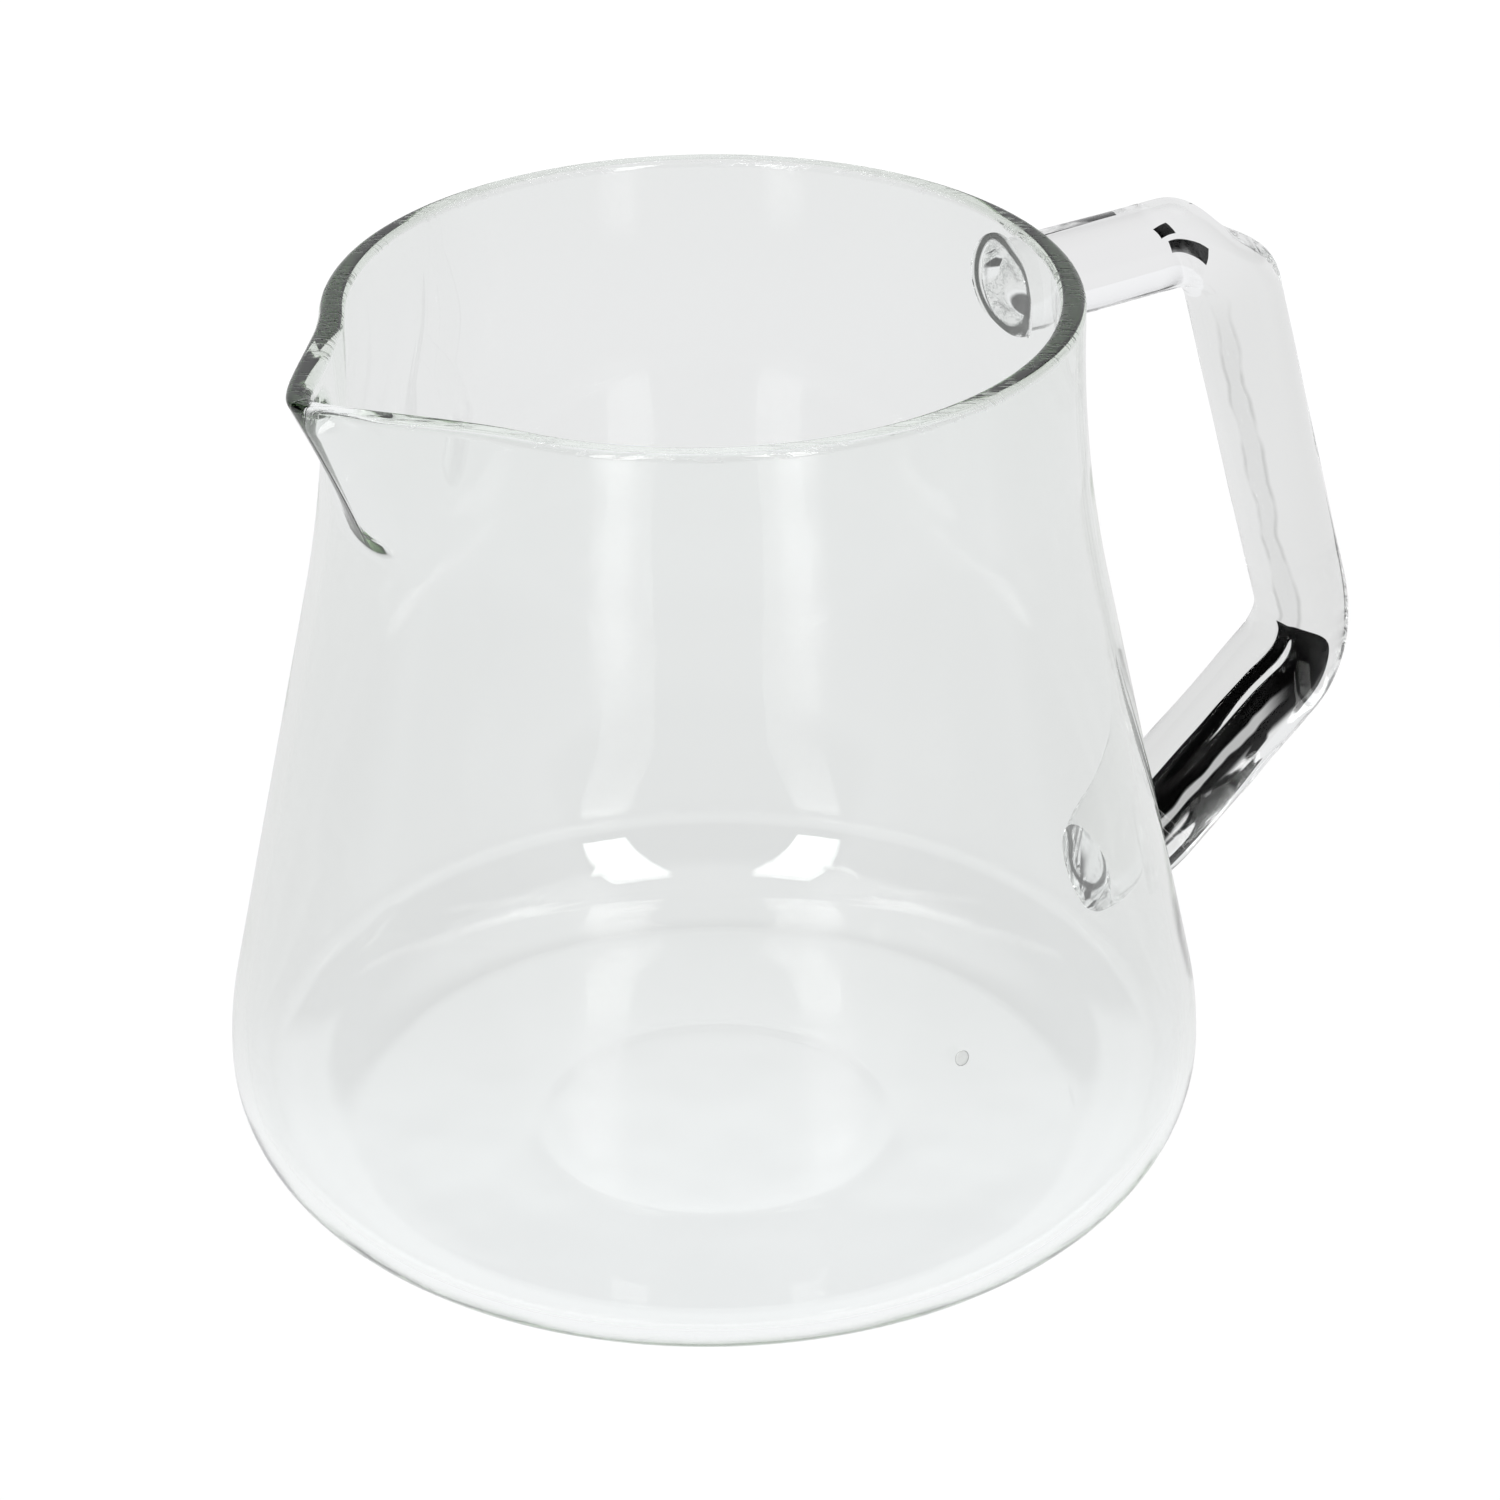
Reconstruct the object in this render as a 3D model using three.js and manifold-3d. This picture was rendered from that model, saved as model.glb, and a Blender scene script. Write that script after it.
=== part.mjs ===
// A glass carafe: a blown vessel with a spout pulled from its neck, and a bent glass rod
// fused to it as a handle. Millimetres, +Z up, +X from the spout towards the handle, origin
// at the middle of the base, on the surface that the carafe stands on.
import * as THREE from 'three';
import { mergeVertices } from 'three/addons/utils/BufferGeometryUtils.js';
import Module from 'manifold-3d';

const wasm = await Module();
wasm.setup();

// Vessel: its height, its diameters and the arcs of its wall
const RIM_HEIGHT = 103.8;
const BODY_DIAMETER = 110;
const NECK_DIAMETER = 81.6;
const NECK_LENGTH = 3.7;
const NECK_BLEND_RADIUS = 147;
const SHOULDER_RADIUS = 37.3;
const CORNER_RADIUS = 13.8;
const WALL = 2.5;
const FLOOR = 3.2;
const RIM_ROUNDING_SHARE = 0.36;

// Ring that the mould leaves under the base
const MOULD_RING_DIAMETER = 41;
const MOULD_RING_WIDTH = 1.2;
const MOULD_RING_DEPTH = 0.3;

// Spout: how far its tip stands out of the neck, its width at the rim, and the keel below it
const SPOUT_REACH = 9.2;
const SPOUT_WIDTH = 37;
const SPOUT_ROOT_WIDTH = 16;
const SPOUT_TIP_ROUNDING = 2.3;
const SPOUT_KEEL_HEIGHT = 20.3;
const SPOUT_FLANK_CURVE = 1.9;

// Handle: a round rod, level at the top, leaning out down the grip and back in to the foot
const ARM_DROP = 8.7;
const ARM_LENGTH = 28.4;
const ARM_DIAMETER = 10.4;
const GRIP_LENGTH = 57.8;
const GRIP_LEAN = THREE.MathUtils.degToRad(15.8);
const GRIP_DIAMETER = 11.1;
const FOOT_HEIGHT = 16.2;
const FOOT_DIAMETER = 13.1;
const BEND_RADIUS = 10;
const ELBOW_FLATTENING = 2.3;

// Welds between the rod and the wall, and the seam kept between neighbouring pieces
const UPPER_WELD_LENGTH = 3.6;
const UPPER_WELD_FLARE = 1.1;
const LOWER_WELD_LENGTH = 9;
const LOWER_WELD_SINK = 5.5;
const SEAM = 0.3;

// Fill mark printed on the side of the wall
const MARK_DIAMETER = 1.7;
const MARK_THICKNESS = 0.25;
const MARK_HEIGHT = 35.3;
const MARK_AZIMUTH = THREE.MathUtils.degToRad(-91.6);

// Fineness of the round surfaces, and how strongly the facets crowd towards the spout
const VESSEL_SEGMENTS = 72;
const SPOUT_CROWDING = 0.6;
const CORNER_STEPS = 6;
const WALL_STEPS = 3;
const SPOUT_STEPS = 7;
const RIM_STEPS = 3;
const ROD_SIDES = 20;
const ROD_STEPS = 3;
const BEND_STEPS = 9;
const WELD_STEPS = 5;

const bodyRadius = BODY_DIAMETER / 2;
const neckRadius = NECK_DIAMETER / 2;
const neckStart = RIM_HEIGHT - NECK_LENGTH;
const shoulderCentre = new THREE.Vector2(bodyRadius - SHOULDER_RADIUS, CORNER_RADIUS);
const neckCentre = new THREE.Vector2(neckRadius + NECK_BLEND_RADIUS, neckStart);
const wallLean = tangentLean(shoulderCentre, SHOULDER_RADIUS, neckCentre, NECK_BLEND_RADIUS);

const clearGlass = new THREE.MeshStandardMaterial({ color: 0xe9edeb, roughness: 0.03, metalness: 0 });
const rodGlass = new THREE.MeshStandardMaterial({ color: 0xe3e8e5, roughness: 0.03, metalness: 0 });
const weldGlass = new THREE.MeshStandardMaterial({ color: 0xd9dfdb, roughness: 0.05, metalness: 0 });
const greyEnamel = new THREE.MeshStandardMaterial({ color: 0xc9ccc9, roughness: 0.5, metalness: 0 });

// Lean of the straight wall that touches the shoulder's arc outside and the neck's arc inside
function tangentLean(convexCentre, convexRadius, concaveCentre, concaveRadius) {
  const span = concaveCentre.clone().sub(convexCentre);
  return span.angle() - Math.acos((convexRadius + concaveRadius) / span.length());
}

// Heights at which the wall's shoulder arc ends and its neck arc starts, at a depth under the outside
function shoulderTop(depth) {
  return shoulderCentre.y + (SHOULDER_RADIUS - depth) * Math.sin(wallLean);
}

function blendStart(depth) {
  return neckCentre.y - (NECK_BLEND_RADIUS + depth) * Math.sin(wallLean);
}

// Radius of the wall at a height above its widest line, at a depth under the outside
function wallRadius(height, depth = 0) {
  if (height >= neckStart) {
    return neckRadius - depth;
  }
  if (height >= blendStart(depth)) {
    const radius = NECK_BLEND_RADIUS + depth;
    return neckCentre.x - Math.sqrt(radius ** 2 - (neckCentre.y - height) ** 2);
  }
  const radius = SHOULDER_RADIUS - depth;
  const rise = height - shoulderCentre.y;
  if (height >= shoulderTop(depth)) {
    return shoulderCentre.x + (radius - rise * Math.sin(wallLean)) / Math.cos(wallLean);
  }
  return shoulderCentre.x + Math.sqrt(radius ** 2 - rise ** 2);
}

// Evenly spaced values from one number to another, both included
function steps(from, to, count) {
  return Array.from({ length: count + 1 }, (_, index) => THREE.MathUtils.lerp(from, to, index / count));
}

// Points on an arc, by its centre, radius and the angles between which it runs
function arc(centre, radius, from, to, count) {
  return steps(from, to, count).map(
    (angle) => new THREE.Vector2(centre.x + radius * Math.cos(angle), centre.y + radius * Math.sin(angle)),
  );
}

// The wall's points from its widest line up to a height, closer together along the spout's keel
function wallLine(top, depth) {
  const keelFoot = RIM_HEIGHT - SPOUT_KEEL_HEIGHT;
  const shoulder = steps(shoulderCentre.y, shoulderTop(depth), WALL_STEPS);
  const blend = steps(blendStart(depth), keelFoot, WALL_STEPS);
  const spout = steps(keelFoot, top, SPOUT_STEPS);
  const heights = [...shoulder, ...blend, ...spout.slice(1)];
  return heights.map((height) => new THREE.Vector2(wallRadius(height, depth), height));
}

// Rounding from the flat base into the wall, standing off the outside by a gap
function outerCorner(gap) {
  const centre = new THREE.Vector2(bodyRadius - CORNER_RADIUS, CORNER_RADIUS);
  return arc(centre, CORNER_RADIUS + gap, -Math.PI / 2, 0, CORNER_STEPS);
}

// Rounding from the wall into the floor inside
function innerCorner() {
  const radius = CORNER_RADIUS - FLOOR;
  const centre = new THREE.Vector2(bodyRadius - WALL - radius, CORNER_RADIUS);
  return arc(centre, radius, 0, -Math.PI / 2, CORNER_STEPS);
}

// Section of the groove under the base, from its inner edge to its outer edge
function mouldRing() {
  const middle = MOULD_RING_DIAMETER / 2;
  const half = MOULD_RING_WIDTH / 2;
  return [
    new THREE.Vector2(middle - half, 0),
    new THREE.Vector2(middle, MOULD_RING_DEPTH),
    new THREE.Vector2(middle + half, 0),
  ];
}

// Closed profile of the vessel: under the base, up the outside, over the rim and down the inside
function vesselProfile() {
  const rounding = WALL * RIM_ROUNDING_SHARE;
  const rimStart = RIM_HEIGHT - rounding;
  const outerCentre = new THREE.Vector2(neckRadius - rounding, rimStart);
  const outerRim = arc(outerCentre, rounding, 0, Math.PI / 2, RIM_STEPS);
  const innerCentre = new THREE.Vector2(neckRadius - WALL + rounding, rimStart);
  const innerRim = arc(innerCentre, rounding, Math.PI / 2, Math.PI, RIM_STEPS);
  const outside = [...outerCorner(0), ...wallLine(rimStart, 0).slice(1), ...outerRim.slice(1)];
  const inside = [...innerRim, ...wallLine(rimStart, WALL).reverse().slice(1), ...innerCorner().slice(1)];
  const base = [new THREE.Vector2(0, 0), ...mouldRing()];
  return [...base, ...outside, ...inside, new THREE.Vector2(0, FLOOR)];
}

// Share of the spout's reach at an angle from its middle, for a half width at some height
function flank(angle, halfWidth, rounding) {
  const softened = Math.hypot(angle, rounding);
  const left = Math.max(0, halfWidth - softened) / (halfWidth - rounding);
  return left ** SPOUT_FLANK_CURVE;
}

// How far the spout pulls the wall out, at an angle from its middle and a height
function spoutPull(angle, height) {
  const keelFoot = RIM_HEIGHT - SPOUT_KEEL_HEIGHT;
  const rise = THREE.MathUtils.clamp((height - keelFoot) / SPOUT_KEEL_HEIGHT, 0, 1);
  const width = THREE.MathUtils.lerp(SPOUT_ROOT_WIDTH, SPOUT_WIDTH, rise);
  const halfWidth = Math.asin(width / NECK_DIAMETER);
  const rounding = (SPOUT_TIP_ROUNDING / neckRadius) * (width / SPOUT_WIDTH);
  return SPOUT_REACH * rise * flank(angle, halfWidth, rounding);
}

// Extra depth that keeps the wall's thickness where the spout's flank runs aslant of the radius
function flankThickening(angle, height, radius, depth) {
  const turn = Math.PI / VESSEL_SEGMENTS / 4;
  const slope = (spoutPull(angle + turn, height) - spoutPull(angle - turn, height)) / (2 * turn);
  return depth * (Math.hypot(1, slope / radius) - 1);
}

// Revolves a profile about Z, with its facets crowded towards the spout on -X
function revolve(profile) {
  const geometry = new THREE.LatheGeometry(profile, VESSEL_SEGMENTS, Math.PI / 2);
  geometry.rotateX(Math.PI / 2);
  const position = geometry.attributes.position;
  for (let index = 0; index < position.count; index++) {
    const even = (Math.floor(index / profile.length) / VESSEL_SEGMENTS) * 2 * Math.PI;
    const angle = even + SPOUT_CROWDING * Math.sin(even);
    const radius = profile[index % profile.length].x;
    position.setXY(index, radius * Math.cos(angle), radius * Math.sin(angle));
  }
  return geometry;
}

// Draws the spout out of a revolved vessel, moving the outside and the inside of the wall together
function drawSpout(geometry) {
  const position = geometry.attributes.position;
  for (let index = 0; index < position.count; index++) {
    const x = position.getX(index);
    const y = position.getY(index);
    const height = position.getZ(index);
    const radius = Math.hypot(x, y);
    if (radius > 0) {
      const angle = Math.atan2(y, -x);
      const depth = Math.max(0, wallRadius(Math.max(height, CORNER_RADIUS)) - radius);
      const pull = spoutPull(angle, height);
      const moved = radius + pull - flankThickening(angle, height, radius + pull, depth);
      position.setXY(index, (x * moved) / radius, (y * moved) / radius);
    }
  }
  return geometry;
}

function buildVessel() {
  return named('vessel', drawSpout(revolve(vesselProfile())), clearGlass);
}

// The solid that the vessel fills, with its hollow closed and a gap all round
function vesselEnvelope(gap) {
  const underside = new THREE.Vector2(0, -gap);
  const lid = new THREE.Vector2(0, RIM_HEIGHT);
  return revolve([underside, ...outerCorner(gap), ...wallLine(RIM_HEIGHT, -gap).slice(1), lid]);
}

// Corners of the handle's middle line in the XZ plane, from the neck to the foot on the wall
function handleCorners() {
  const armHeight = RIM_HEIGHT - ARM_DROP;
  const top = new THREE.Vector2(wallRadius(armHeight), armHeight);
  const elbow = top.clone().add(new THREE.Vector2(ARM_LENGTH, 0));
  const grip = new THREE.Vector2(Math.sin(GRIP_LEAN), -Math.cos(GRIP_LEAN));
  const knee = elbow.clone().addScaledVector(grip, GRIP_LENGTH);
  const foot = new THREE.Vector2(wallRadius(Math.max(FOOT_HEIGHT, CORNER_RADIUS)), FOOT_HEIGHT);
  return { top, elbow, knee, foot };
}

// Clockwise bend of the rod round a corner of its middle line
function bend(from, corner, next) {
  const into = corner.clone().sub(from).normalize();
  const out = next.clone().sub(corner).normalize();
  const turn = Math.acos(into.dot(out));
  const start = corner.clone().addScaledVector(into, -BEND_RADIUS * Math.tan(turn / 2));
  const inward = new THREE.Vector2(into.y, -into.x);
  const centre = start.clone().addScaledVector(inward, BEND_RADIUS);
  const angle = Math.atan2(-inward.y, -inward.x);
  return new THREE.EllipseCurve(centre.x, centre.y, BEND_RADIUS, BEND_RADIUS, angle, angle - turn, true);
}

// Stretches of the handle's middle line between its welds, each with the diameters at its two ends
// and how far the outside of its middle is flattened
function handleStretches() {
  const { top, elbow, knee, foot } = handleCorners();
  const footward = knee.clone().sub(foot).normalize();
  const start = top.clone().add(new THREE.Vector2(UPPER_WELD_LENGTH + SEAM, 0));
  const end = foot.clone().addScaledVector(footward, LOWER_WELD_LENGTH + SEAM);
  const upper = bend(start, elbow, knee);
  const lower = bend(elbow, knee, end);
  const arm = new THREE.LineCurve(start, upper.getPoint(0));
  const grip = new THREE.LineCurve(upper.getPoint(1), lower.getPoint(0));
  const shank = new THREE.LineCurve(lower.getPoint(1), end);
  return [
    { curve: arm, from: ARM_DIAMETER, to: ARM_DIAMETER, flattening: 0, count: ROD_STEPS },
    { curve: upper, from: ARM_DIAMETER, to: GRIP_DIAMETER, flattening: ELBOW_FLATTENING, count: BEND_STEPS },
    { curve: grip, from: GRIP_DIAMETER, to: GRIP_DIAMETER, flattening: 0, count: ROD_STEPS },
    { curve: lower, from: GRIP_DIAMETER, to: FOOT_DIAMETER, flattening: 0, count: BEND_STEPS },
    { curve: shank, from: FOOT_DIAMETER, to: FOOT_DIAMETER, flattening: 0, count: ROD_STEPS },
  ];
}

// Stations along the handle's middle line, each with its place, its direction, the rod's radius and
// the shorter radius on the outside of a flattened bend
function handleStations() {
  return handleStretches().flatMap(({ curve, from, to, flattening, count }, stretch) => {
    const shares = steps(0, 1, count).slice(stretch === 0 ? 0 : 1);
    return shares.map((share) => {
      const radius = THREE.MathUtils.lerp(from, to, share) / 2;
      const outerRadius = radius - flattening * Math.sin(Math.PI * share) ** 2;
      return { place: curve.getPoint(share), direction: curve.getTangent(share), radius, outerRadius };
    });
  });
}

// One closed rod through stations in the XZ plane, round but for its flattened bend, with flat ends
function sweptRod(stations) {
  const vertices = [];
  const triangles = [];
  for (const { place, direction, radius, outerRadius } of stations) {
    for (let side = 0; side < ROD_SIDES; side++) {
      const angle = (side / ROD_SIDES) * 2 * Math.PI;
      const inward = Math.cos(angle) * (Math.cos(angle) > 0 ? radius : outerRadius);
      vertices.push(place.x + inward * direction.y, radius * Math.sin(angle), place.y - inward * direction.x);
    }
  }
  for (let ring = 0; ring < stations.length - 1; ring++) {
    for (let side = 0; side < ROD_SIDES; side++) {
      const next = (side + 1) % ROD_SIDES;
      const near = ring * ROD_SIDES;
      const far = near + ROD_SIDES;
      triangles.push(near + side, near + next, far + next, near + side, far + next, far + side);
    }
  }
  const last = (stations.length - 1) * ROD_SIDES;
  for (let side = 1; side < ROD_SIDES - 1; side++) {
    triangles.push(0, side + 1, side, last, last + side, last + side + 1);
  }
  const geometry = new THREE.BufferGeometry();
  geometry.setAttribute('position', new THREE.Float32BufferAttribute(vertices, 3));
  geometry.setIndex(triangles);
  return geometry;
}

function buildHandle() {
  return named('handle', sweptRod(handleStations()), rodGlass);
}

// A boolean solid from a closed geometry
function toSolid(geometry) {
  const bare = geometry.clone();
  bare.deleteAttribute('normal');
  bare.deleteAttribute('uv');
  const merged = mergeVertices(bare);
  const vertProperties = new Float32Array(merged.attributes.position.array);
  const triVerts = new Uint32Array(merged.index.array);
  return new wasm.Manifold(new wasm.Mesh({ numProp: 3, vertProperties, triVerts }));
}

// A geometry from a boolean solid
function toGeometry(solid) {
  const mesh = solid.getMesh();
  const geometry = new THREE.BufferGeometry();
  geometry.setAttribute('position', new THREE.BufferAttribute(new Float32Array(mesh.vertProperties), 3));
  geometry.setIndex(new THREE.BufferAttribute(new Uint32Array(mesh.triVerts), 1));
  return geometry;
}

// A weld: a profile turned about the rod's line, from inside the wall outwards, cut to the wall
function buildWeld(name, profile, wallPoint, outward) {
  const geometry = new THREE.LatheGeometry(profile, ROD_SIDES);
  const direction = new THREE.Vector3(outward.x, 0, outward.y);
  geometry.applyQuaternion(new THREE.Quaternion().setFromUnitVectors(new THREE.Vector3(0, 1, 0), direction));
  geometry.translate(wallPoint.x, 0, wallPoint.y);
  const cut = toSolid(geometry).subtract(toSolid(vesselEnvelope(SEAM)));
  return named(name, toGeometry(cut), weldGlass);
}

// The upper weld flares from the arm onto the neck
function buildUpperWeld() {
  const rodRadius = ARM_DIAMETER / 2;
  const centre = new THREE.Vector2(rodRadius + UPPER_WELD_FLARE, UPPER_WELD_FLARE);
  const flare = arc(centre, UPPER_WELD_FLARE, -Math.PI / 2, -Math.PI, WELD_STEPS);
  const profile = [
    new THREE.Vector2(0, -rodRadius),
    new THREE.Vector2(rodRadius + UPPER_WELD_FLARE, -rodRadius),
    ...flare,
    new THREE.Vector2(rodRadius, UPPER_WELD_LENGTH),
    new THREE.Vector2(0, UPPER_WELD_LENGTH),
  ];
  return buildWeld('upper_weld', profile, handleCorners().top, new THREE.Vector2(1, 0));
}

// The lower weld is the rod's end, rounded as half an ellipsoid that sinks a little into the wall
function buildLowerWeld() {
  const { knee, foot } = handleCorners();
  const rodRadius = FOOT_DIAMETER / 2;
  const reach = LOWER_WELD_LENGTH + LOWER_WELD_SINK;
  const cap = steps(0, Math.PI / 2, WELD_STEPS).map(
    (angle) => new THREE.Vector2(rodRadius * Math.sin(angle), LOWER_WELD_LENGTH - reach * Math.cos(angle)),
  );
  const profile = [...cap, new THREE.Vector2(0, LOWER_WELD_LENGTH)];
  return buildWeld('lower_weld', profile, foot, knee.clone().sub(foot).normalize());
}

// A thin disc of enamel, square to the wall
function buildFillMark() {
  const radius = MARK_DIAMETER / 2;
  const geometry = new THREE.CylinderGeometry(radius, radius, MARK_THICKNESS, ROD_SIDES);
  const outward = new THREE.Vector3(Math.cos(wallLean), 0, Math.sin(wallLean));
  const centre = new THREE.Vector3(wallRadius(MARK_HEIGHT), 0, MARK_HEIGHT);
  centre.addScaledVector(outward, SEAM + MARK_THICKNESS / 2);
  geometry.applyQuaternion(new THREE.Quaternion().setFromUnitVectors(new THREE.Vector3(0, 1, 0), outward));
  geometry.translate(centre.x, centre.y, centre.z);
  geometry.rotateZ(MARK_AZIMUTH);
  return named('fill_mark', geometry, greyEnamel);
}

function named(name, geometry, material) {
  const mesh = new THREE.Mesh(geometry, material);
  mesh.name = name;
  return mesh;
}

const carafe = new THREE.Group();
carafe.add(buildVessel(), buildHandle(), buildUpperWeld(), buildLowerWeld(), buildFillMark());

export default carafe;
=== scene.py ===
"""Looks of a glass carafe: a blown vessel with a pulled spout, and a bent glass rod as its handle.

Every length is in metres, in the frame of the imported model: +Z up, +X from the spout to the handle.
"""
import logging
import math
from dataclasses import dataclass, field, replace
from enum import Enum, IntEnum
from typing import Any, Iterable, Mapping, NamedTuple, Sequence, Union

import bpy
from mathutils import Matrix, Vector


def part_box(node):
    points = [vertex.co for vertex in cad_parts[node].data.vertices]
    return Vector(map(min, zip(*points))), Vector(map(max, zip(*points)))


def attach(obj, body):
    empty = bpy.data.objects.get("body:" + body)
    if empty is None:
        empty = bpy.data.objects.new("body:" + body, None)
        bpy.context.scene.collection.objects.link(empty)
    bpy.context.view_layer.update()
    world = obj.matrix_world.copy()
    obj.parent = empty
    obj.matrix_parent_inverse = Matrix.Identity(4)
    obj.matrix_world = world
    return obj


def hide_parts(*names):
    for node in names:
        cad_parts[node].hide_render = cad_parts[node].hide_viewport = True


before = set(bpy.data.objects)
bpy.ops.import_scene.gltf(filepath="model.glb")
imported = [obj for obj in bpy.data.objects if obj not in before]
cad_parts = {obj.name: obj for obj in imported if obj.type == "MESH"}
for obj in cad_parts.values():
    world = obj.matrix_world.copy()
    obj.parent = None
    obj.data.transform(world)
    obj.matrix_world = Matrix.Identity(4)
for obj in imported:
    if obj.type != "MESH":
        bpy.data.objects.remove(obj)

LOG = logging.getLogger("carafe")
BODY = "root"
SPOUT_SIDE = math.pi
HAIRLINE = 0.00002
ROUND_THE_ROD = "round_the_rod"
CAMERA_SIDE = math.radians(-122.0)
SLOPE_STEP = 0.001
THROUGH_ONE_SOLID = 2
MIX_FIRST, MIX_SECOND, MIX_RESULT = 6, 7, 2
EASING = {"interpolation_type": "SMOOTHSTEP"}
Triple = tuple[float, float, float]


class Span(NamedTuple):
    """Where an easing starts and where it ends."""

    start: float
    end: float


class Slot(Enum):
    """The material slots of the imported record."""

    CLEAR_GLASS = "clear_glass"
    GREY_ENAMEL = "grey_enamel"


class WeldForm(Enum):
    """How a weld meets the wall."""

    FLARED = "flared"
    ROUNDED = "rounded"


class WeldFace(IntEnum):
    """The material slots of a weld."""

    SIDE = 0
    JOINT = 1
    SEAL = 2


class Value:
    """A socket's number, on which plain arithmetic adds Math nodes."""

    def __init__(self, graph: "Graph", socket: bpy.types.NodeSocket) -> None:
        """Keeps the tree and the output socket."""
        self.graph = graph
        self.socket = socket

    def math(self, operation: str, *terms: "Term") -> "Value":
        """Adds one Math node with those inputs, and gives its result."""
        return self.graph.node("ShaderNodeMath", {"operation": operation}, dict(enumerate(terms)))[0]

    def __add__(self, other: "Term") -> "Value":
        """This number plus another."""
        return self.math("ADD", self, other)

    def __sub__(self, other: "Term") -> "Value":
        """This number less another."""
        return self.math("SUBTRACT", self, other)

    def __rsub__(self, other: "Term") -> "Value":
        """Another number less this one."""
        return self.math("SUBTRACT", other, self)

    def __mul__(self, other: "Term") -> "Value":
        """This number times another."""
        return self.math("MULTIPLY", self, other)

    def __truediv__(self, other: "Term") -> "Value":
        """This number divided by another."""
        return self.math("DIVIDE", self, other)

    def __rtruediv__(self, other: "Term") -> "Value":
        """Another number divided by this one."""
        return self.math("DIVIDE", other, self)

    def __pow__(self, other: "Term") -> "Value":
        """This number to a power."""
        return self.math("POWER", self, other)

    __radd__ = __add__
    __rmul__ = __mul__

    def sine(self) -> "Value":
        """The sine of this number."""
        return self.math("SINE", self)

    def above(self, limit: "Term") -> "Value":
        """1 where this number is above the limit, else 0."""
        return self.math("GREATER_THAN", self, limit)

    def below(self, limit: "Term") -> "Value":
        """1 where this number is below the limit, else 0."""
        return self.math("LESS_THAN", self, limit)

    def size(self) -> "Value":
        """This number without its sign."""
        return self.math("ABSOLUTE", self)

    def most(self, other: "Term") -> "Value":
        """The larger of two numbers."""
        return self.math("MAXIMUM", self, other)

    def ramp(self, start: "Term", end: "Term", low: "Term" = 0.0, high: "Term" = 1.0) -> "Value":
        """Eases from low, where this number is at the start or before, to high at the end or after."""
        limits = {"Value": self, "From Min": start, "From Max": end, "To Min": low, "To Max": high}
        return self.graph.node("ShaderNodeMapRange", EASING, limits)["Result"]


Term = Union[Value, float]


class Node:
    """A node that was added, with its outputs as values."""

    def __init__(self, graph: "Graph", made: bpy.types.Node) -> None:
        """Keeps the tree and the node."""
        self.graph = graph
        self.made = made

    def __getitem__(self, output: Union[str, int]) -> Value:
        """The output of that name or place."""
        return Value(self.graph, self.made.outputs[output])


class Graph:
    """One node tree that is being built."""

    def __init__(self, tree: bpy.types.NodeTree) -> None:
        """Starts the tree with no nodes."""
        self.tree = tree
        tree.nodes.clear()

    def node(
        self,
        kind: str,
        settings: Mapping[str, Any] | None = None,
        sockets: Mapping[Union[str, int], Any] | None = None,
    ) -> Node:
        """Adds a node, sets it, and then feeds its sockets.

        Args:
            kind: the node's type.
            settings: its properties, with the fields that it captures under "captures".
            sockets: values or links by the input's name or place.

        Returns:
            The node.
        """
        made = self.tree.nodes.new(kind)
        for name, value in (settings or {}).items():
            if name == "captures":
                for label, data_type in value.items():
                    made.capture_items.new(data_type, label)
            else:
                setattr(made, name, value)
        for key, value in (sockets or {}).items():
            self.feed(made.inputs[key], value)
        return Node(self, made)

    def feed(self, socket: bpy.types.NodeSocket, value: Any) -> None:
        """Links a value to an input, or sets the input's own number.

        Args:
            socket: the input.
            value: a Value, or what the input holds by itself.
        """
        if isinstance(value, Value):
            self.tree.links.new(value.socket, socket)
        else:
            socket.default_value = value

    def vector(self, operation: str, *terms: Any) -> Node:
        """Adds a Vector Math node on those terms."""
        return self.node("ShaderNodeVectorMath", {"operation": operation}, dict(enumerate(terms)))

    def scaled(self, direction: Value, amount: Term) -> Value:
        """That direction, times an amount."""
        factors = {0: direction, "Scale": amount}
        return self.node("ShaderNodeVectorMath", {"operation": "SCALE"}, factors)[0]

    def tint(self, amount: Term, first: Any, second: Any) -> Value:
        """Mixes two colours, from the first at 0 to the second at 1."""
        colours = {0: amount, MIX_FIRST: first, MIX_SECOND: second}
        return self.node("ShaderNodeMix", {"data_type": "RGBA"}, colours)[MIX_RESULT]

    def noise(self, place: Value, size: float, detail: float = 2.0) -> Value:
        """Noise from 0 to 1 whose bumps are about that size, with that many finer layers."""
        sockets = {"Vector": place, "Scale": 1.0 / size, "Detail": detail}
        return self.node("ShaderNodeTexNoise", {}, sockets)["Fac"]

    def mix_shaders(self, amount: Term, first: Value, second: Value) -> Value:
        """Mixes two shaders, from the first at 0 to the second at 1."""
        return self.node("ShaderNodeMixShader", {}, {0: amount, 1: first, 2: second})[0]


def new_material(name: str) -> tuple[bpy.types.Material, Graph]:
    """Makes an empty material.

    Args:
        name: its name.

    Returns:
        The material and its tree.
    """
    material = bpy.data.materials.new(name)
    material.use_nodes = True
    return material, Graph(material.node_tree)


def object_place(graph: Graph) -> Value:
    """The Object coordinates, which are the row frame's metres on every piece."""
    return graph.node("ShaderNodeTexCoord")["Object"]


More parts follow.
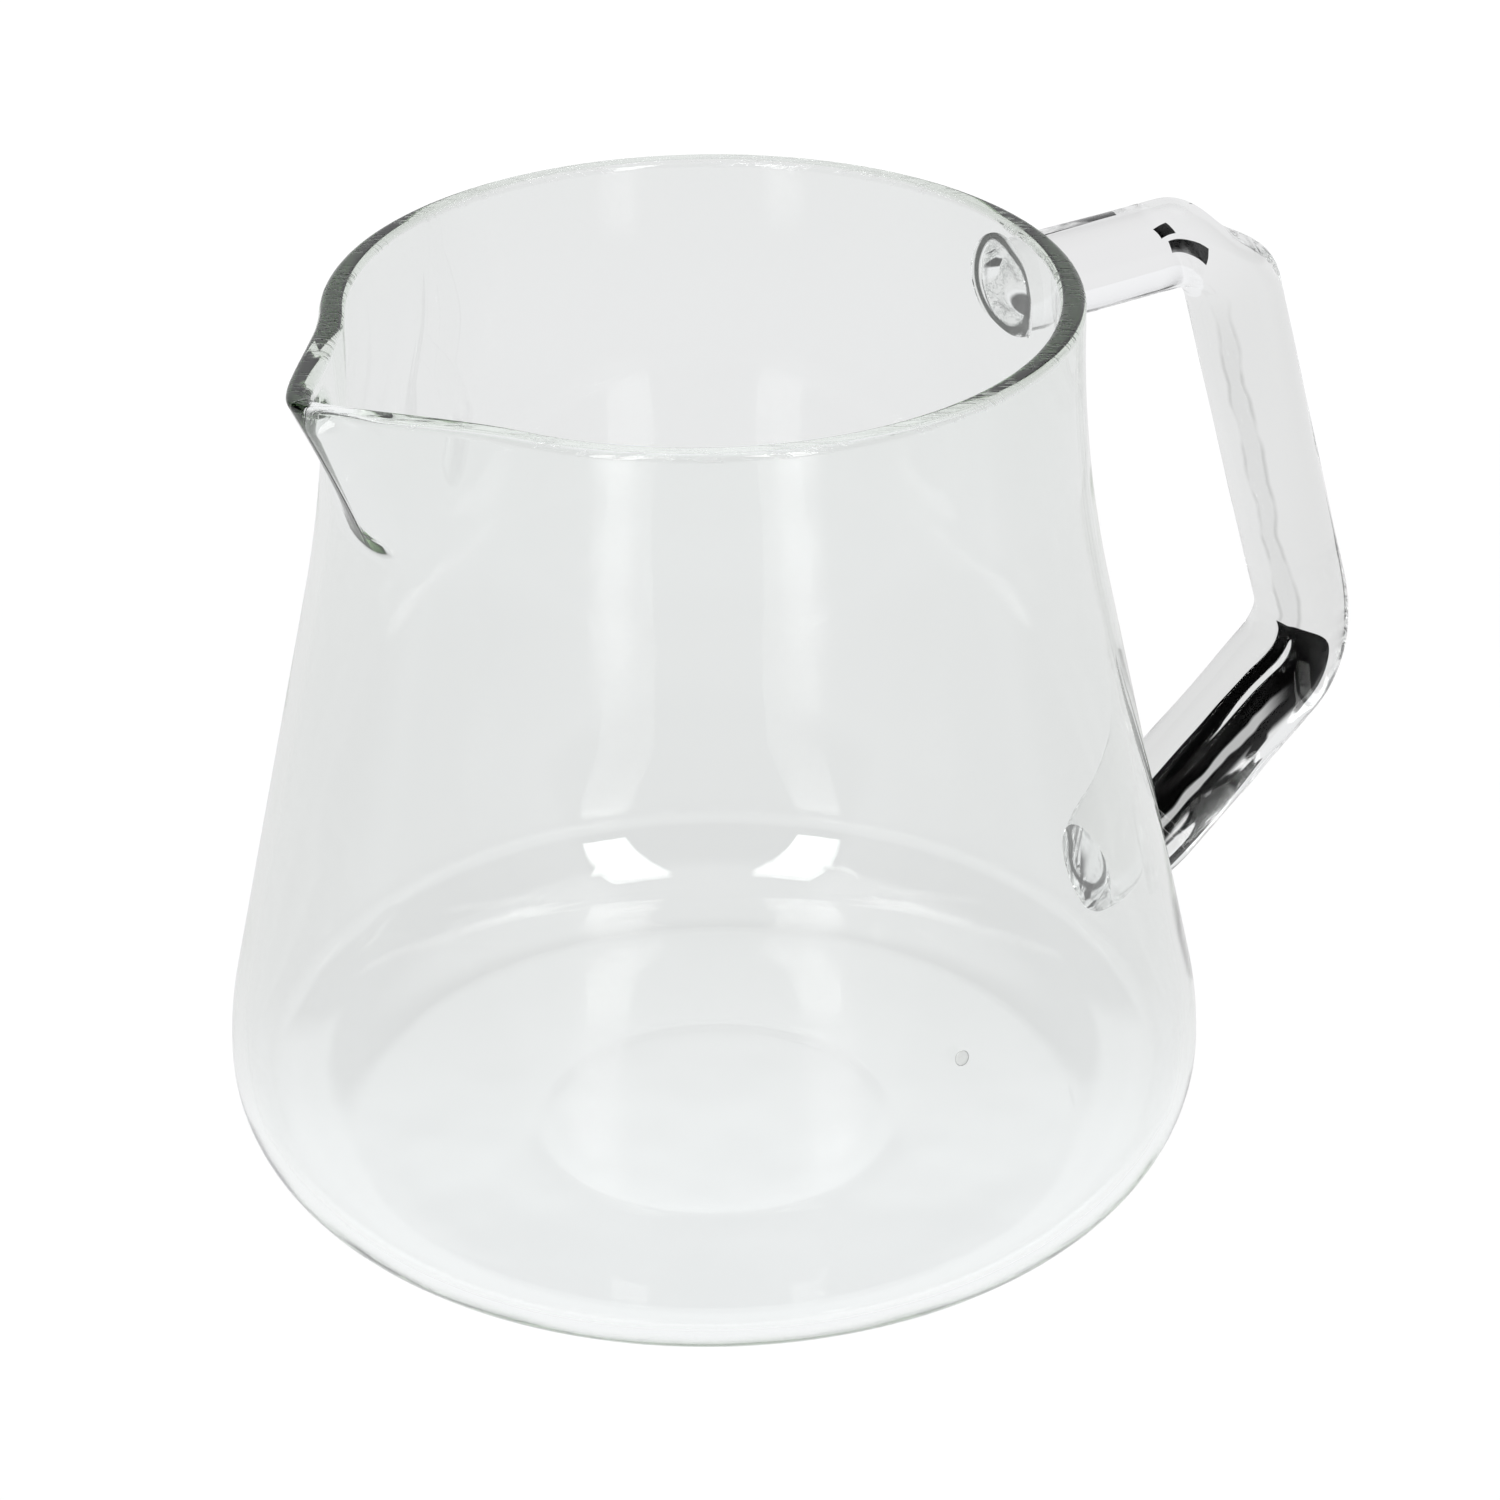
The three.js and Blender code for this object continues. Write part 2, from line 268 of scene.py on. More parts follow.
@dataclass(frozen=True)
class ClearGlass:
    """Clear blown glass that lets the lamps through, faintly grey-green in its depth where a depth density
    is given.
    """

    name: str
    clear: Triple = (0.985, 0.99, 0.988)
    clouded: Triple = (0.97, 0.978, 0.976)
    cloud_size: float = 0.03
    refraction: float = 1.47
    smooth: float = 0.0
    worn: float = 0.03
    worn_size: float = 0.00375
    worn_span: Span = Span(0.62, 0.8)
    ripple_size: float = 0.012
    ripple_height: float = 0.00004
    depth_colour: Triple = (0.40, 0.54, 0.34)
    depth_density: float = 0.0
    sheen: float = 1.0

    def relief(self, graph: Graph, place: Value) -> Value:
        """The height in metres of the faint ripples that blowing or drawing leaves."""
        return graph.noise(place, self.ripple_size, 1.0) * self.ripple_height

    def wear(self, graph: Graph, place: Value) -> Value:
        """The roughness, which is low apart from some rubbed spots."""
        rubbed = graph.noise(place, self.worn_size)
        return rubbed.ramp(*self.worn_span, self.smooth, self.worn)

    def colour(self, graph: Graph, place: Value) -> Value:
        """The tint of the glass, which is faintly cloudy."""
        return graph.tint(graph.noise(place, self.cloud_size), (*self.clear, 1.0), (*self.clouded, 1.0))

    def material(self) -> bpy.types.Material:
        """Builds the shader.

        Returns:
            The material.
        """
        material, graph = new_material(self.name)
        place = object_place(graph)
        bump = graph.node("ShaderNodeBump", {}, {"Height": self.relief(graph, place), "Distance": 1.0})
        glass = graph.node(
            "ShaderNodeBsdfPrincipled",
            {},
            {
                "Base Color": self.colour(graph, place),
                "Roughness": self.wear(graph, place),
                "IOR": self.refraction,
                "Specular Tint": (self.sheen, self.sheen, self.sheen, 1.0),
                "Transmission Weight": 1.0,
                "Normal": bump["Normal"],
            },
        )
        through = graph.node("ShaderNodeBsdfTransparent", {}, {"Color": (*self.clear, 1.0)})
        shadow = graph.node("ShaderNodeLightPath")["Is Shadow Ray"]
        sockets = {"Surface": graph.mix_shaders(shadow, glass[0], through[0])}
        if self.depth_density:
            absorbing = {"Color": (*self.depth_colour, 1.0), "Density": self.depth_density}
            sockets["Volume"] = graph.node("ShaderNodeVolumeAbsorption", {}, absorbing)[0]
        graph.node("ShaderNodeOutputMaterial", {}, sockets)
        return material


@dataclass(frozen=True)
class BlownGlass(ClearGlass):
    """The vessel's glass, with grinding marks on its rim and a fine line down the spout's keel."""

    depth_density: float = 13.0
    rim_height: float = 0.1
    rim_depth: float = 0.0009
    mark_width: float = 0.0004
    mark_length: float = 0.004
    mark_slant: float = 0.6
    mark_span: Span = Span(0.52, 0.64)
    patch_span: Span = Span(0.35, 0.55)
    mark_roughness: float = 0.5
    mark_height: float = 0.00004
    keel_start: float = 0.0858
    keel_radius: float = 0.03
    keel_width: float = 0.0003
    keel_depth: float = 0.00004

    def rim_marks(self, graph: Graph, place: Value) -> Value:
        """Fine slanting scratches, on the rim alone.

        Args:
            graph: the material's tree.
            place: the Object coordinates.

        Returns:
            How strong the marks are, from 0 to 1.
        """
        axes = graph.node("ShaderNodeSeparateXYZ", {}, {0: place})
        on_rim = axes["Z"].ramp(self.rim_height - self.rim_depth, self.rim_height - self.rim_depth / 2)
        slant = {"Vector": place, "Rotation": (0.0, 0.0, self.mark_slant)}
        turned = graph.node("ShaderNodeMapping", {}, slant)["Vector"]
        grain = (self.mark_width / self.mark_length, 1.0, self.mark_width / self.mark_length)
        stretched = graph.vector("MULTIPLY", turned, grain)[0]
        scratch = graph.noise(stretched, self.mark_width).ramp(*self.mark_span)
        patchy = graph.noise(place, self.mark_length * 2).ramp(*self.patch_span)
        return scratch * patchy * on_rim

    def relief(self, graph: Graph, place: Value) -> Value:
        """The ripples, the rim's marks and the keel's line.

        Args:
            graph: the material's tree.
            place: the Object coordinates.

        Returns:
            The height in metres.
        """
        axes = graph.node("ShaderNodeSeparateXYZ", {}, {0: place})
        at_spout = axes["X"].below(-self.keel_radius) * axes["Z"].above(self.keel_start)
        line = axes["Y"].size().ramp(0.0, self.keel_width, self.keel_depth, 0.0) * at_spout
        marks = self.rim_marks(graph, place) * self.mark_height
        return super().relief(graph, place) + line - marks

    def wear(self, graph: Graph, place: Value) -> Value:
        """The roughness, higher in the rim's marks."""
        return super().wear(graph, place) + self.rim_marks(graph, place) * self.mark_roughness


@dataclass(frozen=True)
class RodGlass(ClearGlass):
    """The glass of the rod and its welds, a little greyer, with a weaker sheen."""

    clear: Triple = (0.935, 0.94, 0.932)
    clouded: Triple = (0.905, 0.91, 0.90)
    sheen: float = 0.25


@dataclass(frozen=True)
class DrawnGlass(RodGlass):
    """The rod's glass, with painted shade in a wavering streak along the grip, and the grip painted a
    greyer shade than the clear arm.
    """

    streak_side: float = math.radians(142.0)
    streak_width: float = math.radians(21.0)
    streak_wander: float = math.radians(34.0)
    streak_wave: float = 0.011
    edge_seeds: tuple[float, float] = (0.0, 0.5)
    edge_width: float = math.radians(5.0)
    edge_strength: float = 0.6
    inner_strength: float = 0.2
    patch_span: Span = Span(0.3, 0.6)
    patch_least: float = 0.35
    streak_start: float = 0.026
    streak_end: float = 0.078
    # painted shade: the streak's dark colour, and the clear arm colour that the grip's greyer painted
    # shade blends from
    painted_streak_shade: Triple = (0.30, 0.31, 0.30)
    unshaded_arm_colour: Triple = (1.0, 1.0, 1.0)
    grip_span: Span = Span(0.016, 0.034)

    def colour(self, graph: Graph, place: Value) -> Value:
        """The tint, with painted shade: darker in the streak, darkest along its two edges, and greyer on
        the grip than on the arm.

        Args:
            graph: the material's tree.
            place: the Object coordinates.

        Returns:
            The colour.
        """
        around = graph.node("ShaderNodeAttribute", {"attribute_name": ROUND_THE_ROD})["Vector"]
        axes = graph.node("ShaderNodeSeparateXYZ", {}, {0: around})
        along = axes["Z"]
        turn = along.math("ARCTAN2", axes["Y"], axes["X"]) - self.streak_side
        edges = []
        for seed, side in zip(self.edge_seeds, (-0.5, 0.5)):
            at = graph.node("ShaderNodeCombineXYZ", {}, {"X": along + seed})[0]
            wander = (graph.noise(at, self.streak_wave) - 0.5) * self.streak_wander
            edges.append(turn - wander - side * self.streak_width)
        inside = edges[0].above(0.0) * edges[1].below(0.0) * self.inner_strength
        line = edges[0].size().ramp(0.0, self.edge_width, 1.0, 0.0)
        line = line.most(edges[1].size().ramp(0.0, self.edge_width, 1.0, 0.0))
        patchy = graph.noise(place, self.streak_wave / 2)
        patchy = patchy.ramp(*self.patch_span, self.patch_least)
        fade = along.ramp(self.streak_start, self.streak_start + self.streak_wave)
        fade = fade * along.ramp(self.streak_end, self.streak_end + self.streak_wave, 1.0, 0.0)
        # painted shade in the streak, darkest along its two edges
        strength = inside.most(line * patchy * self.edge_strength) * fade
        # painted shade: the grip takes the rod's greyer tint while the arm stays clear
        grip_shading = along.ramp(*self.grip_span)
        plain = graph.tint(grip_shading, (*self.unshaded_arm_colour, 1.0), super().colour(graph, place))
        return graph.tint(strength, plain, (*self.painted_streak_shade, 1.0))


@dataclass(frozen=True)
class SealGlass(RodGlass):
    """The glass where a weld meets the wall, with two dark rings of painted shade where its fillet shows
    dark.
    """

    root: Triple = (0.0, 0.0, 0.0)
    axis: Triple = (1.0, 0.0, 0.0)
    ring_radius: float = 0.005
    ring_width: float = 0.0007
    inner_share: float = 0.62
    inner_strength: float = 0.55
    break_span: Span = Span(0.45, 0.6)
    warp: float = 0.0026
    warp_size: float = 0.005
    # painted shade: the near-black colour of the rings
    painted_ring_shade: Triple = (0.008, 0.009, 0.008)

    def colour(self, graph: Graph, place: Value) -> Value:
        """The tint, with painted shade near black along two wavering rings round the weld's axis.

        Args:
            graph: the material's tree.
            place: the Object coordinates.

        Returns:
            The colour.
        """
        from_root = graph.vector("SUBTRACT", place, self.root)[0]
        away = graph.vector("CROSS_PRODUCT", from_root, self.axis)[0]
        bent = (graph.noise(place, self.warp_size, 0.0) - 0.5) * self.warp
        radius = graph.vector("LENGTH", away)["Value"] + bent
        # painted shade in the outer ring and in the broken inner ring
        outer = (radius - self.ring_radius).size().ramp(self.ring_width / 2, self.ring_width, 1.0, 0.0)
        inner = (radius - self.ring_radius * self.inner_share).size()
        broken = graph.noise(place, self.warp_size / 2).ramp(*self.break_span)
        inner = inner.ramp(0.0, self.ring_width, 1.0, 0.0) * broken * self.inner_strength
        return graph.tint(outer.most(inner), super().colour(graph, place), (*self.painted_ring_shade, 1.0))


@dataclass(frozen=True)
class FusedSeam:
    """The unseen joint inside glass that was melted together."""

    name: str = "fused_seam"

    def material(self) -> bpy.types.Material:
        """Builds the shader, which shows nothing of the joint.

        Returns:
            The material.
        """
        material, graph = new_material(self.name)
        clear = graph.node("ShaderNodeBsdfTransparent")
        graph.node("ShaderNodeOutputMaterial", {}, {"Surface": clear[0]})
        return material


@dataclass(frozen=True)
class GreyEnamel:
    """Pale grey enamel, printed and fired on glass."""

    name: str = "grey_enamel"
    pale: Triple = (0.73, 0.745, 0.73)
    dark: Triple = (0.65, 0.665, 0.65)
    speckle_size: float = 0.0002
    speckle_height: float = 0.00001
    speckle_span: Span = Span(0.3, 0.7)
    roughness: Span = Span(0.35, 0.5)

    def material(self) -> bpy.types.Material:
        """Builds the shader.

        Returns:
            The material.
        """
        material, graph = new_material(self.name)
        speckle = graph.noise(object_place(graph), self.speckle_size)
        height = speckle * self.speckle_height
        bump = graph.node("ShaderNodeBump", {}, {"Height": height, "Distance": 1.0})
        enamel = graph.node(
            "ShaderNodeBsdfPrincipled",
            {},
            {
                "Base Color": graph.tint(speckle, (*self.dark, 1.0), (*self.pale, 1.0)),
                "Roughness": speckle.ramp(*self.speckle_span, *self.roughness),
                "Normal": bump["Normal"],
            },
        )
        graph.node("ShaderNodeOutputMaterial", {}, {"Surface": enamel[0]})
        return material


@dataclass
class Shell:
    """Points and faces of a mesh that is being made."""

    points: list[Vector] = field(default_factory=list)
    faces: list[tuple[int, ...]] = field(default_factory=list)

    def ring(self, points: Sequence[Vector]) -> list[int]:
        """Adds points to the mesh.

        Args:
            points: the points, in order.

        Returns:
            Their places in the mesh.
        """
        start = len(self.points)
        self.points.extend(points)
        return list(range(start, len(self.points)))

    def band(self, low: Sequence[int], high: Sequence[int]) -> None:
        """Joins two closed rings of as many points, or one with a pole, by faces.

        Args:
            low: the ring that the faces start from, anticlockwise as seen from the other one.
            high: the ring that they end at.
        """
        count = max(len(low), len(high))
        for place in range(count):
            after = (place + 1) % count
            start = [low[place % len(low)], low[after % len(low)]]
            end = [high[after % len(high)], high[place % len(high)]]
            self.faces.append(tuple(dict.fromkeys(start + end)))

    def loft(self, rings: Iterable[Sequence[Vector]], last: Sequence[int] = ()) -> None:
        """Adds rings or poles one after another, and joins each to the one before.

        Args:
            rings: closed rings of as many points, or single points.
            last: the places of a ring that is there already, to start from.
        """
        for points in rings:
            ring = self.ring(points)
            if last:
                self.band(last, ring)
            last = ring

    def piece(self, name: str, materials: Sequence[bpy.types.Material]) -> bpy.types.Object:
        """Makes the mesh and its object, smooth all over.

        Args:
            name: the object's name.
            materials: its material slots.

        Returns:
            The object, at the origin.
        """
        mesh = bpy.data.meshes.new(name)
        mesh.from_pydata(self.points, [], self.faces)
        mesh.polygons.foreach_set("use_smooth", [True] * len(mesh.polygons))
        for material in materials:
            mesh.materials.append(material)
        mesh.update()
        return shown(name, mesh)


def shown(name: str, mesh: bpy.types.Mesh) -> bpy.types.Object:
    """Puts a mesh in the scene, at the origin.

    Args:
        name: the object's name.
        mesh: its mesh.

    Returns:
        The object.
    """
    piece = bpy.data.objects.new(name, mesh)
    bpy.context.collection.objects.link(piece)
    return piece


def settle(piece: bpy.types.Object, node: str) -> bpy.types.Object:
    """Lets a piece stand for a CAD node, and reports it.

    Args:
        piece: the finished piece.
        node: the node that it replaces.

    Returns:
        The piece.
    """
    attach(piece, BODY)
    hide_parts(node)
    LOG.info("%s stands for %s with %d faces", piece.name, node, len(piece.data.polygons))
    return piece


def evenly(count: int, start: float = 0.0, end: float = 1.0) -> list[float]:
    """That many even steps from start to end, with both ends."""
    return [start + (end - start) * step / count for step in range(count + 1)]


def full_turn(count: int) -> list[float]:
    """That many even angles round a circle, from 0."""
    return [2 * math.pi * place / count for place in range(count)]


def eased(share: float) -> float:
    """That share from 0 to 1, with a soft start and end."""
    kept = min(1.0, max(0.0, share))
    return kept * kept * (3.0 - 2.0 * kept)


@dataclass(frozen=True)
class Wall:
    """The rule of the vessel's wall: its radius at a height, and the spout's pull on it."""

    rim_height: float
    body_radius: float
    neck_radius: float = 0.0408
    neck_length: float = 0.0037
    neck_blend: float = 0.147
    shoulder: float = 0.0373
    corner: float = 0.0138
    thickness: float = 0.0016
    rim_thickness: float = 0.0028
    rim_swelling: float = 0.020
    floor: float = 0.0018
    spout_reach: float = 0.0092
    spout_width: float = 0.041
    spout_root_width: float = 0.022
    spout_tip_rounding: float = 0.0023
    spout_root_rounding: float = 0.005
    spout_softening: float = 0.7
    spout_height: float = 0.0188
    spout_flank_curve: float = 1.9
    keel_thickness: float = 0.0007
    keel_half_width: float = 0.14
    keel_thinning: float = 0.004
    keel_end_share: float = 0.16

    @property
    def neck_start(self) -> float:
        """The height at which the straight neck starts."""
        return self.rim_height - self.neck_length

    @property
    def lean(self) -> float:
        """How far the straight part of the wall leans in, in radians."""
        across = self.neck_radius + self.neck_blend - (self.body_radius - self.shoulder)
        up = self.neck_start - self.corner
        straight = math.acos((self.shoulder + self.neck_blend) / math.hypot(across, up))
        return math.atan2(up, across) - straight

    def radius(self, height: float, depth: float = 0.0) -> float:
        """The radius of a surface at that depth below the outside, without the spout.

        Args:
            height: the height above the table, from the middle of the corner up.
            depth: 0 for the outside, the thickness for the inside.

        Returns:
            The radius.
        """
        if height >= self.neck_start:
            return self.neck_radius - depth
        blend = self.neck_blend + depth
        if height >= self.neck_start - blend * math.sin(self.lean):
            hollow = math.sqrt(blend**2 - (self.neck_start - height) ** 2)
            return self.neck_radius + self.neck_blend - hollow
        shoulder = self.shoulder - depth
        middle = self.body_radius - self.shoulder
        shoulder_top = self.corner + shoulder * math.sin(self.lean)
        if height >= shoulder_top:
            leaned = (height - shoulder_top) * math.tan(self.lean)
            return middle + shoulder * math.cos(self.lean) - leaned
        if height >= self.corner:
            return middle + math.sqrt(shoulder**2 - (height - self.corner) ** 2)
        return self.body_radius - self.corner + math.sqrt(self.corner**2 - (self.corner - height) ** 2)

    def gauge(self, height: float) -> float:
        """The thickness of the glass, which swells at the fire-polished rim."""
        swollen = eased(1.0 - (self.rim_height - height) / self.rim_swelling)
        return self.thickness + (self.rim_thickness - self.thickness) * swollen

    def pull(self, angle: float, height: float) -> float:
        """How far the spout is pulled out of the round wall.

        Args:
            angle: round the axis, from the spout's middle.
            height: the height above the table.

        Returns:
            The distance, 0 away from the spout.
        """
        rise = min(1.0, max(0.0, 1.0 - (self.rim_height - height) / self.spout_height))
        width = self.spout_root_width + (self.spout_width - self.spout_root_width) * rise
        half = math.asin(width / 2 / self.neck_radius)
        extra = self.spout_root_rounding - self.spout_tip_rounding
        softer = extra * (1.0 - rise) ** self.spout_softening
        rounding = min(half / 2, (self.spout_tip_rounding + softer) / self.neck_radius)
        share = max(0.0, half - math.hypot(angle, rounding)) / (half - rounding)
        return self.spout_reach * rise * share**self.spout_flank_curve

    def keel(self, angle: float, height: float) -> float:
        """How much the glass is thinned where the spout was folded, from 0 to 1.

        Args:
            angle: round the axis, from the spout's middle.
            height: the height above the table.

        Returns:
            The share.
        """
        below_rim = self.rim_height - height
        rise = 1.0 - below_rim / self.spout_height
        along = eased(below_rim / self.keel_thinning) * eased(rise / self.keel_end_share)
        return along * eased(1.0 - abs(angle) / self.keel_half_width)

    def point(self, angle: float, radius: float, height: float, depth: float) -> Vector:
        """A point of the wall, moved by the spout so that the glass stays as thick there.

        Args:
            angle: round the axis, from the spout's middle.
            radius: its radius without the spout.
            height: its height.
            depth: how far it is below the outside.

        Returns:
            The point.
        """
        rise = self.pull(angle + SLOPE_STEP, height) - self.pull(angle - SLOPE_STEP, height)
        slope = rise / (2 * SLOPE_STEP)
        moved = radius + self.pull(angle, height) - depth * (math.hypot(1.0, slope / radius) - 1.0)
        moved += max(0.0, depth - self.keel_thickness) * self.keel(angle, height)
        turn = SPOUT_SIDE + angle
        return Vector((moved * math.cos(turn), moved * math.sin(turn), height))


@dataclass
class Vessel:
    """The blown body, with its flat base, its polished rim and its pulled spout."""

    wall: Wall
    glass: bpy.types.Material
    rounds: int = 300
    spout_crowding: float = 0.6
    flat_steps: int = 5
    corner_steps: int = 16
    wall_steps: int = 84
    rim_crowding: float = 1.6
    rim_steps: int = 8
    rim_rounding: float = 0.0009
    mould_ring_radius: float = 0.0205
    mould_ring_width: float = 0.004
    mould_ring_depth: float = 0.00006
    mould_ring_steps: int = 10

    def outline(self) -> list[Triple]:
        """The section of the glass, from under the base, over the rim, to the inside of the floor.

        Returns:
            (radius, height, depth below the outside) without the two poles on the axis.
        """
        wall = self.wall
        flat = wall.body_radius - wall.corner
        groove_start = self.mould_ring_radius - self.mould_ring_width / 2
        groove_end = self.mould_ring_radius + self.mould_ring_width / 2
        section = [(groove_start * share, 0.0, 0.0) for share in evenly(self.flat_steps)[1:]]
        for share in evenly(self.mould_ring_steps)[1:]:
            depth = self.mould_ring_depth * math.sin(math.pi * share) ** 2
            section.append((groove_start + self.mould_ring_width * share, depth, 0.0))
        for share in evenly(self.flat_steps)[1:]:
            section.append((groove_end + (flat - groove_end) * share, 0.0, 0.0))
        for turn in evenly(self.corner_steps, 0.0, math.pi / 2)[1:]:
            height = wall.corner * (1 - math.cos(turn))
            section.append((flat + wall.corner * math.sin(turn), height, 0.0))
        shoulder_height = wall.rim_height - self.rim_rounding
        rising = [1.0 - (1.0 - share) ** self.rim_crowding for share in evenly(self.wall_steps)[1:]]
        heights = [wall.corner + (shoulder_height - wall.corner) * share for share in rising]
        section += [(wall.radius(height), height, 0.0) for height in heights]
        for turn in evenly(self.rim_steps, 0.0, math.pi / 2)[1:]:
            depth = self.rim_rounding * (1 - math.cos(turn))
            height = shoulder_height + self.rim_rounding * math.sin(turn)
            section.append((wall.neck_radius - depth, height, depth))
        for turn in evenly(self.rim_steps, math.pi / 2, 0.0):
            depth = wall.rim_thickness - self.rim_rounding * (1 - math.cos(turn))
            height = shoulder_height + self.rim_rounding * math.sin(turn)
            section.append((wall.neck_radius - depth, height, depth))
        for height in reversed(heights[:-1]):
            depth = wall.gauge(height)
            section.append((wall.radius(height, depth), height, depth))
        corner = wall.corner - wall.floor
        inner_flat = wall.body_radius - wall.thickness - corner
        for turn in evenly(self.corner_steps, math.pi / 2, 0.0):
            height = wall.corner - corner * math.cos(turn)
            section.append((inner_flat + corner * math.sin(turn), height, wall.thickness))
        for share in evenly(2 * self.flat_steps)[1:-1]:
            section.append((inner_flat * (1 - share), wall.floor, 0.0))
        return section

    def angles(self) -> list[float]:
        """The angles of the points, from the spout's middle, closer together near it."""
        turns = evenly(self.rounds, -math.pi, math.pi)[1:]
        return [turn - self.spout_crowding * math.sin(turn) for turn in turns]

    def build(self) -> bpy.types.Object:
        """Turns the section round the axis, pulls the spout and closes both poles.

        Returns:
            The dressed vessel.
        """
        angles = self.angles()
        rings = [[Vector()]]
        for radius, height, depth in self.outline():
            rings.append([self.wall.point(angle, radius, height, depth) for angle in angles])
        rings.append([Vector((0.0, 0.0, self.wall.floor))])
        shell = Shell()
        shell.loft(rings)
        return settle(shell.piece("blown_vessel", [self.glass]), "vessel")


@dataclass
class Handle:
    """The solid glass rod, bent twice, and the two welds that fuse it to the vessel."""

    wall: Wall
    glass: bpy.types.Material
    weld_glass: bpy.types.Material
    seam: bpy.types.Material
    seal: SealGlass
    arm_drop: float = 0.0087
    arm_length: float = 0.0284
    arm_radius: float = 0.0052
    grip_length: float = 0.0578
    grip_lean: float = math.radians(15.8)
    grip_radius: float = 0.00555
    foot_height: float = 0.0162
    foot_radius: float = 0.00655
    bend_radius: float = 0.010
    elbow_flattening: float = 0.0023
    upper_weld_length: float = 0.0036
    upper_weld_flare: float = 0.0011
    lower_weld_length: float = 0.009
    lower_weld_sink: float = 0.0055
    ring_spacing: float = 0.0006
    rod_sides: int = 160
    bend_steps: int = 32
    cap_share: float = 0.01
    weld_rings: int = 20
    weld_halvings: int = 40
    cap_rings: int = 6
    # where the seal's rings of painted shade sit on each weld
    seal_share: float = 0.84
    lower_seal_share: float = 0.74
    lower_seal_rise: float = 0.0030
    waviness: float = 0.00022
    foot_waviness: float = 0.0008
    foot_line: float = 2.6
    wave_size: float = 0.012
    wave_seed: float = 4.0
    line_side: float = math.radians(142.0)
    line_width: float = math.radians(11.0)
    line_depth: float = 0.00012
    line_wander: float = math.radians(22.0)

    def corners(self) -> list[Vector]:
        """The rod's centre line before it is bent: wall, elbow, knee, wall.

        Returns:
            Four points in the XZ plane.
        """
        arm_height = self.wall.rim_height - self.arm_drop
        top = Vector((self.wall.radius(arm_height), 0.0, arm_height))
        elbow = top + Vector((self.arm_length, 0.0, 0.0))
        downward = Vector((math.sin(self.grip_lean), 0.0, -math.cos(self.grip_lean)))
        knee = elbow + self.grip_length * downward
        foot = Vector((self.wall.radius(self.foot_height), 0.0, self.foot_height))
        return [top, elbow, knee, foot]

    def stretches(self) -> list[float]:
        """Where the two bends start and end, along the rod from the upper weld.

        Returns:
            Start and end of the upper bend, start and end of the lower one.
        """
        top, elbow, knee, foot = self.corners()
        arm, grip, shin = elbow - top, knee - elbow, foot - knee
        upper_turn, lower_turn = arm.angle(grip), grip.angle(shin)
        upper_cut = self.bend_radius * math.tan(upper_turn / 2)
        lower_cut = self.bend_radius * math.tan(lower_turn / 2)
        upper_start = arm.length - self.upper_weld_length - upper_cut
        upper_end = upper_start + self.bend_radius * upper_turn
        lower_start = upper_end + grip.length - upper_cut - lower_cut
        return [upper_start, upper_end, lower_start, lower_start + self.bend_radius * lower_turn]

    def rod_tree(self) -> bpy.types.NodeTree:
        """Builds the tree that sweeps the rod along its bent centre line.

        Returns:
            The tree, with named inputs for every size.
        """
        tree = bpy.data.node_groups.new("bent_glass_rod", "GeometryNodeTree")
        graph = Graph(tree)
        tree.interface.new_socket("Geometry", in_out="INPUT", socket_type="NodeSocketGeometry")
        kinds = {int: "NodeSocketInt", float: "NodeSocketFloat"}
        for name, value in self.rod_inputs().items():
            kind = kinds.get(type(value), "NodeSocketMaterial")
            tree.interface.new_socket(name, in_out="INPUT", socket_type=kind)
        tree.interface.new_socket("Geometry", in_out="OUTPUT", socket_type="NodeSocketGeometry")
        given = graph.node("NodeGroupInput")

        line = graph.node("GeometryNodeMeshToCurve", {}, {"Mesh": given["Geometry"]})["Curve"]
        bend = {"Curve": line, "Count": self.bend_steps, "Radius": given["Bend Radius"]}
        bend["Limit Radius"] = True
        line = graph.node("GeometryNodeFilletCurve", {"mode": "POLY"}, bend)["Curve"]
        spacing = {"Curve": line, "Length": given["Ring Spacing"]}
        line = graph.node("GeometryNodeResampleCurve", {"mode": "LENGTH"}, spacing)["Curve"]

        captures = {"Along": "FLOAT", "Length": "FLOAT", "Middle": "VECTOR", "Ahead": "VECTOR"}
        kept = graph.node(
            "GeometryNodeCaptureAttribute",
            {"captures": captures},
            {
                "Geometry": line,
                "Along": graph.node("GeometryNodeSplineParameter")["Length"],
                "Length": graph.node("GeometryNodeSplineLength")["Length"],
                "Middle": graph.node("GeometryNodeInputPosition")[0],
                "Ahead": graph.node("GeometryNodeInputTangent")[0],
            },
        )
        along, length = kept["Along"], kept["Length"]
        upper = along.ramp(given["Upper Bend Start"], given["Upper Bend End"])
        lower = along.ramp(given["Lower Bend Start"], given["Lower Bend End"])
        thicker = given["Grip Radius"] - given["Arm Radius"]
        thickest = given["Foot Radius"] - given["Grip Radius"]
        radius = given["Arm Radius"] + upper * thicker + lower * thickest
        profile = {"Resolution": given["Rod Sides"], "Radius": 1.0}
        circle = graph.node("GeometryNodeCurvePrimitiveCircle", {}, profile)["Curve"]
        sweep = {"Curve": kept["Geometry"], "Profile Curve": circle, "Scale": radius, "Fill Caps": True}
        swept = graph.node("GeometryNodeCurveToMesh", {}, sweep)

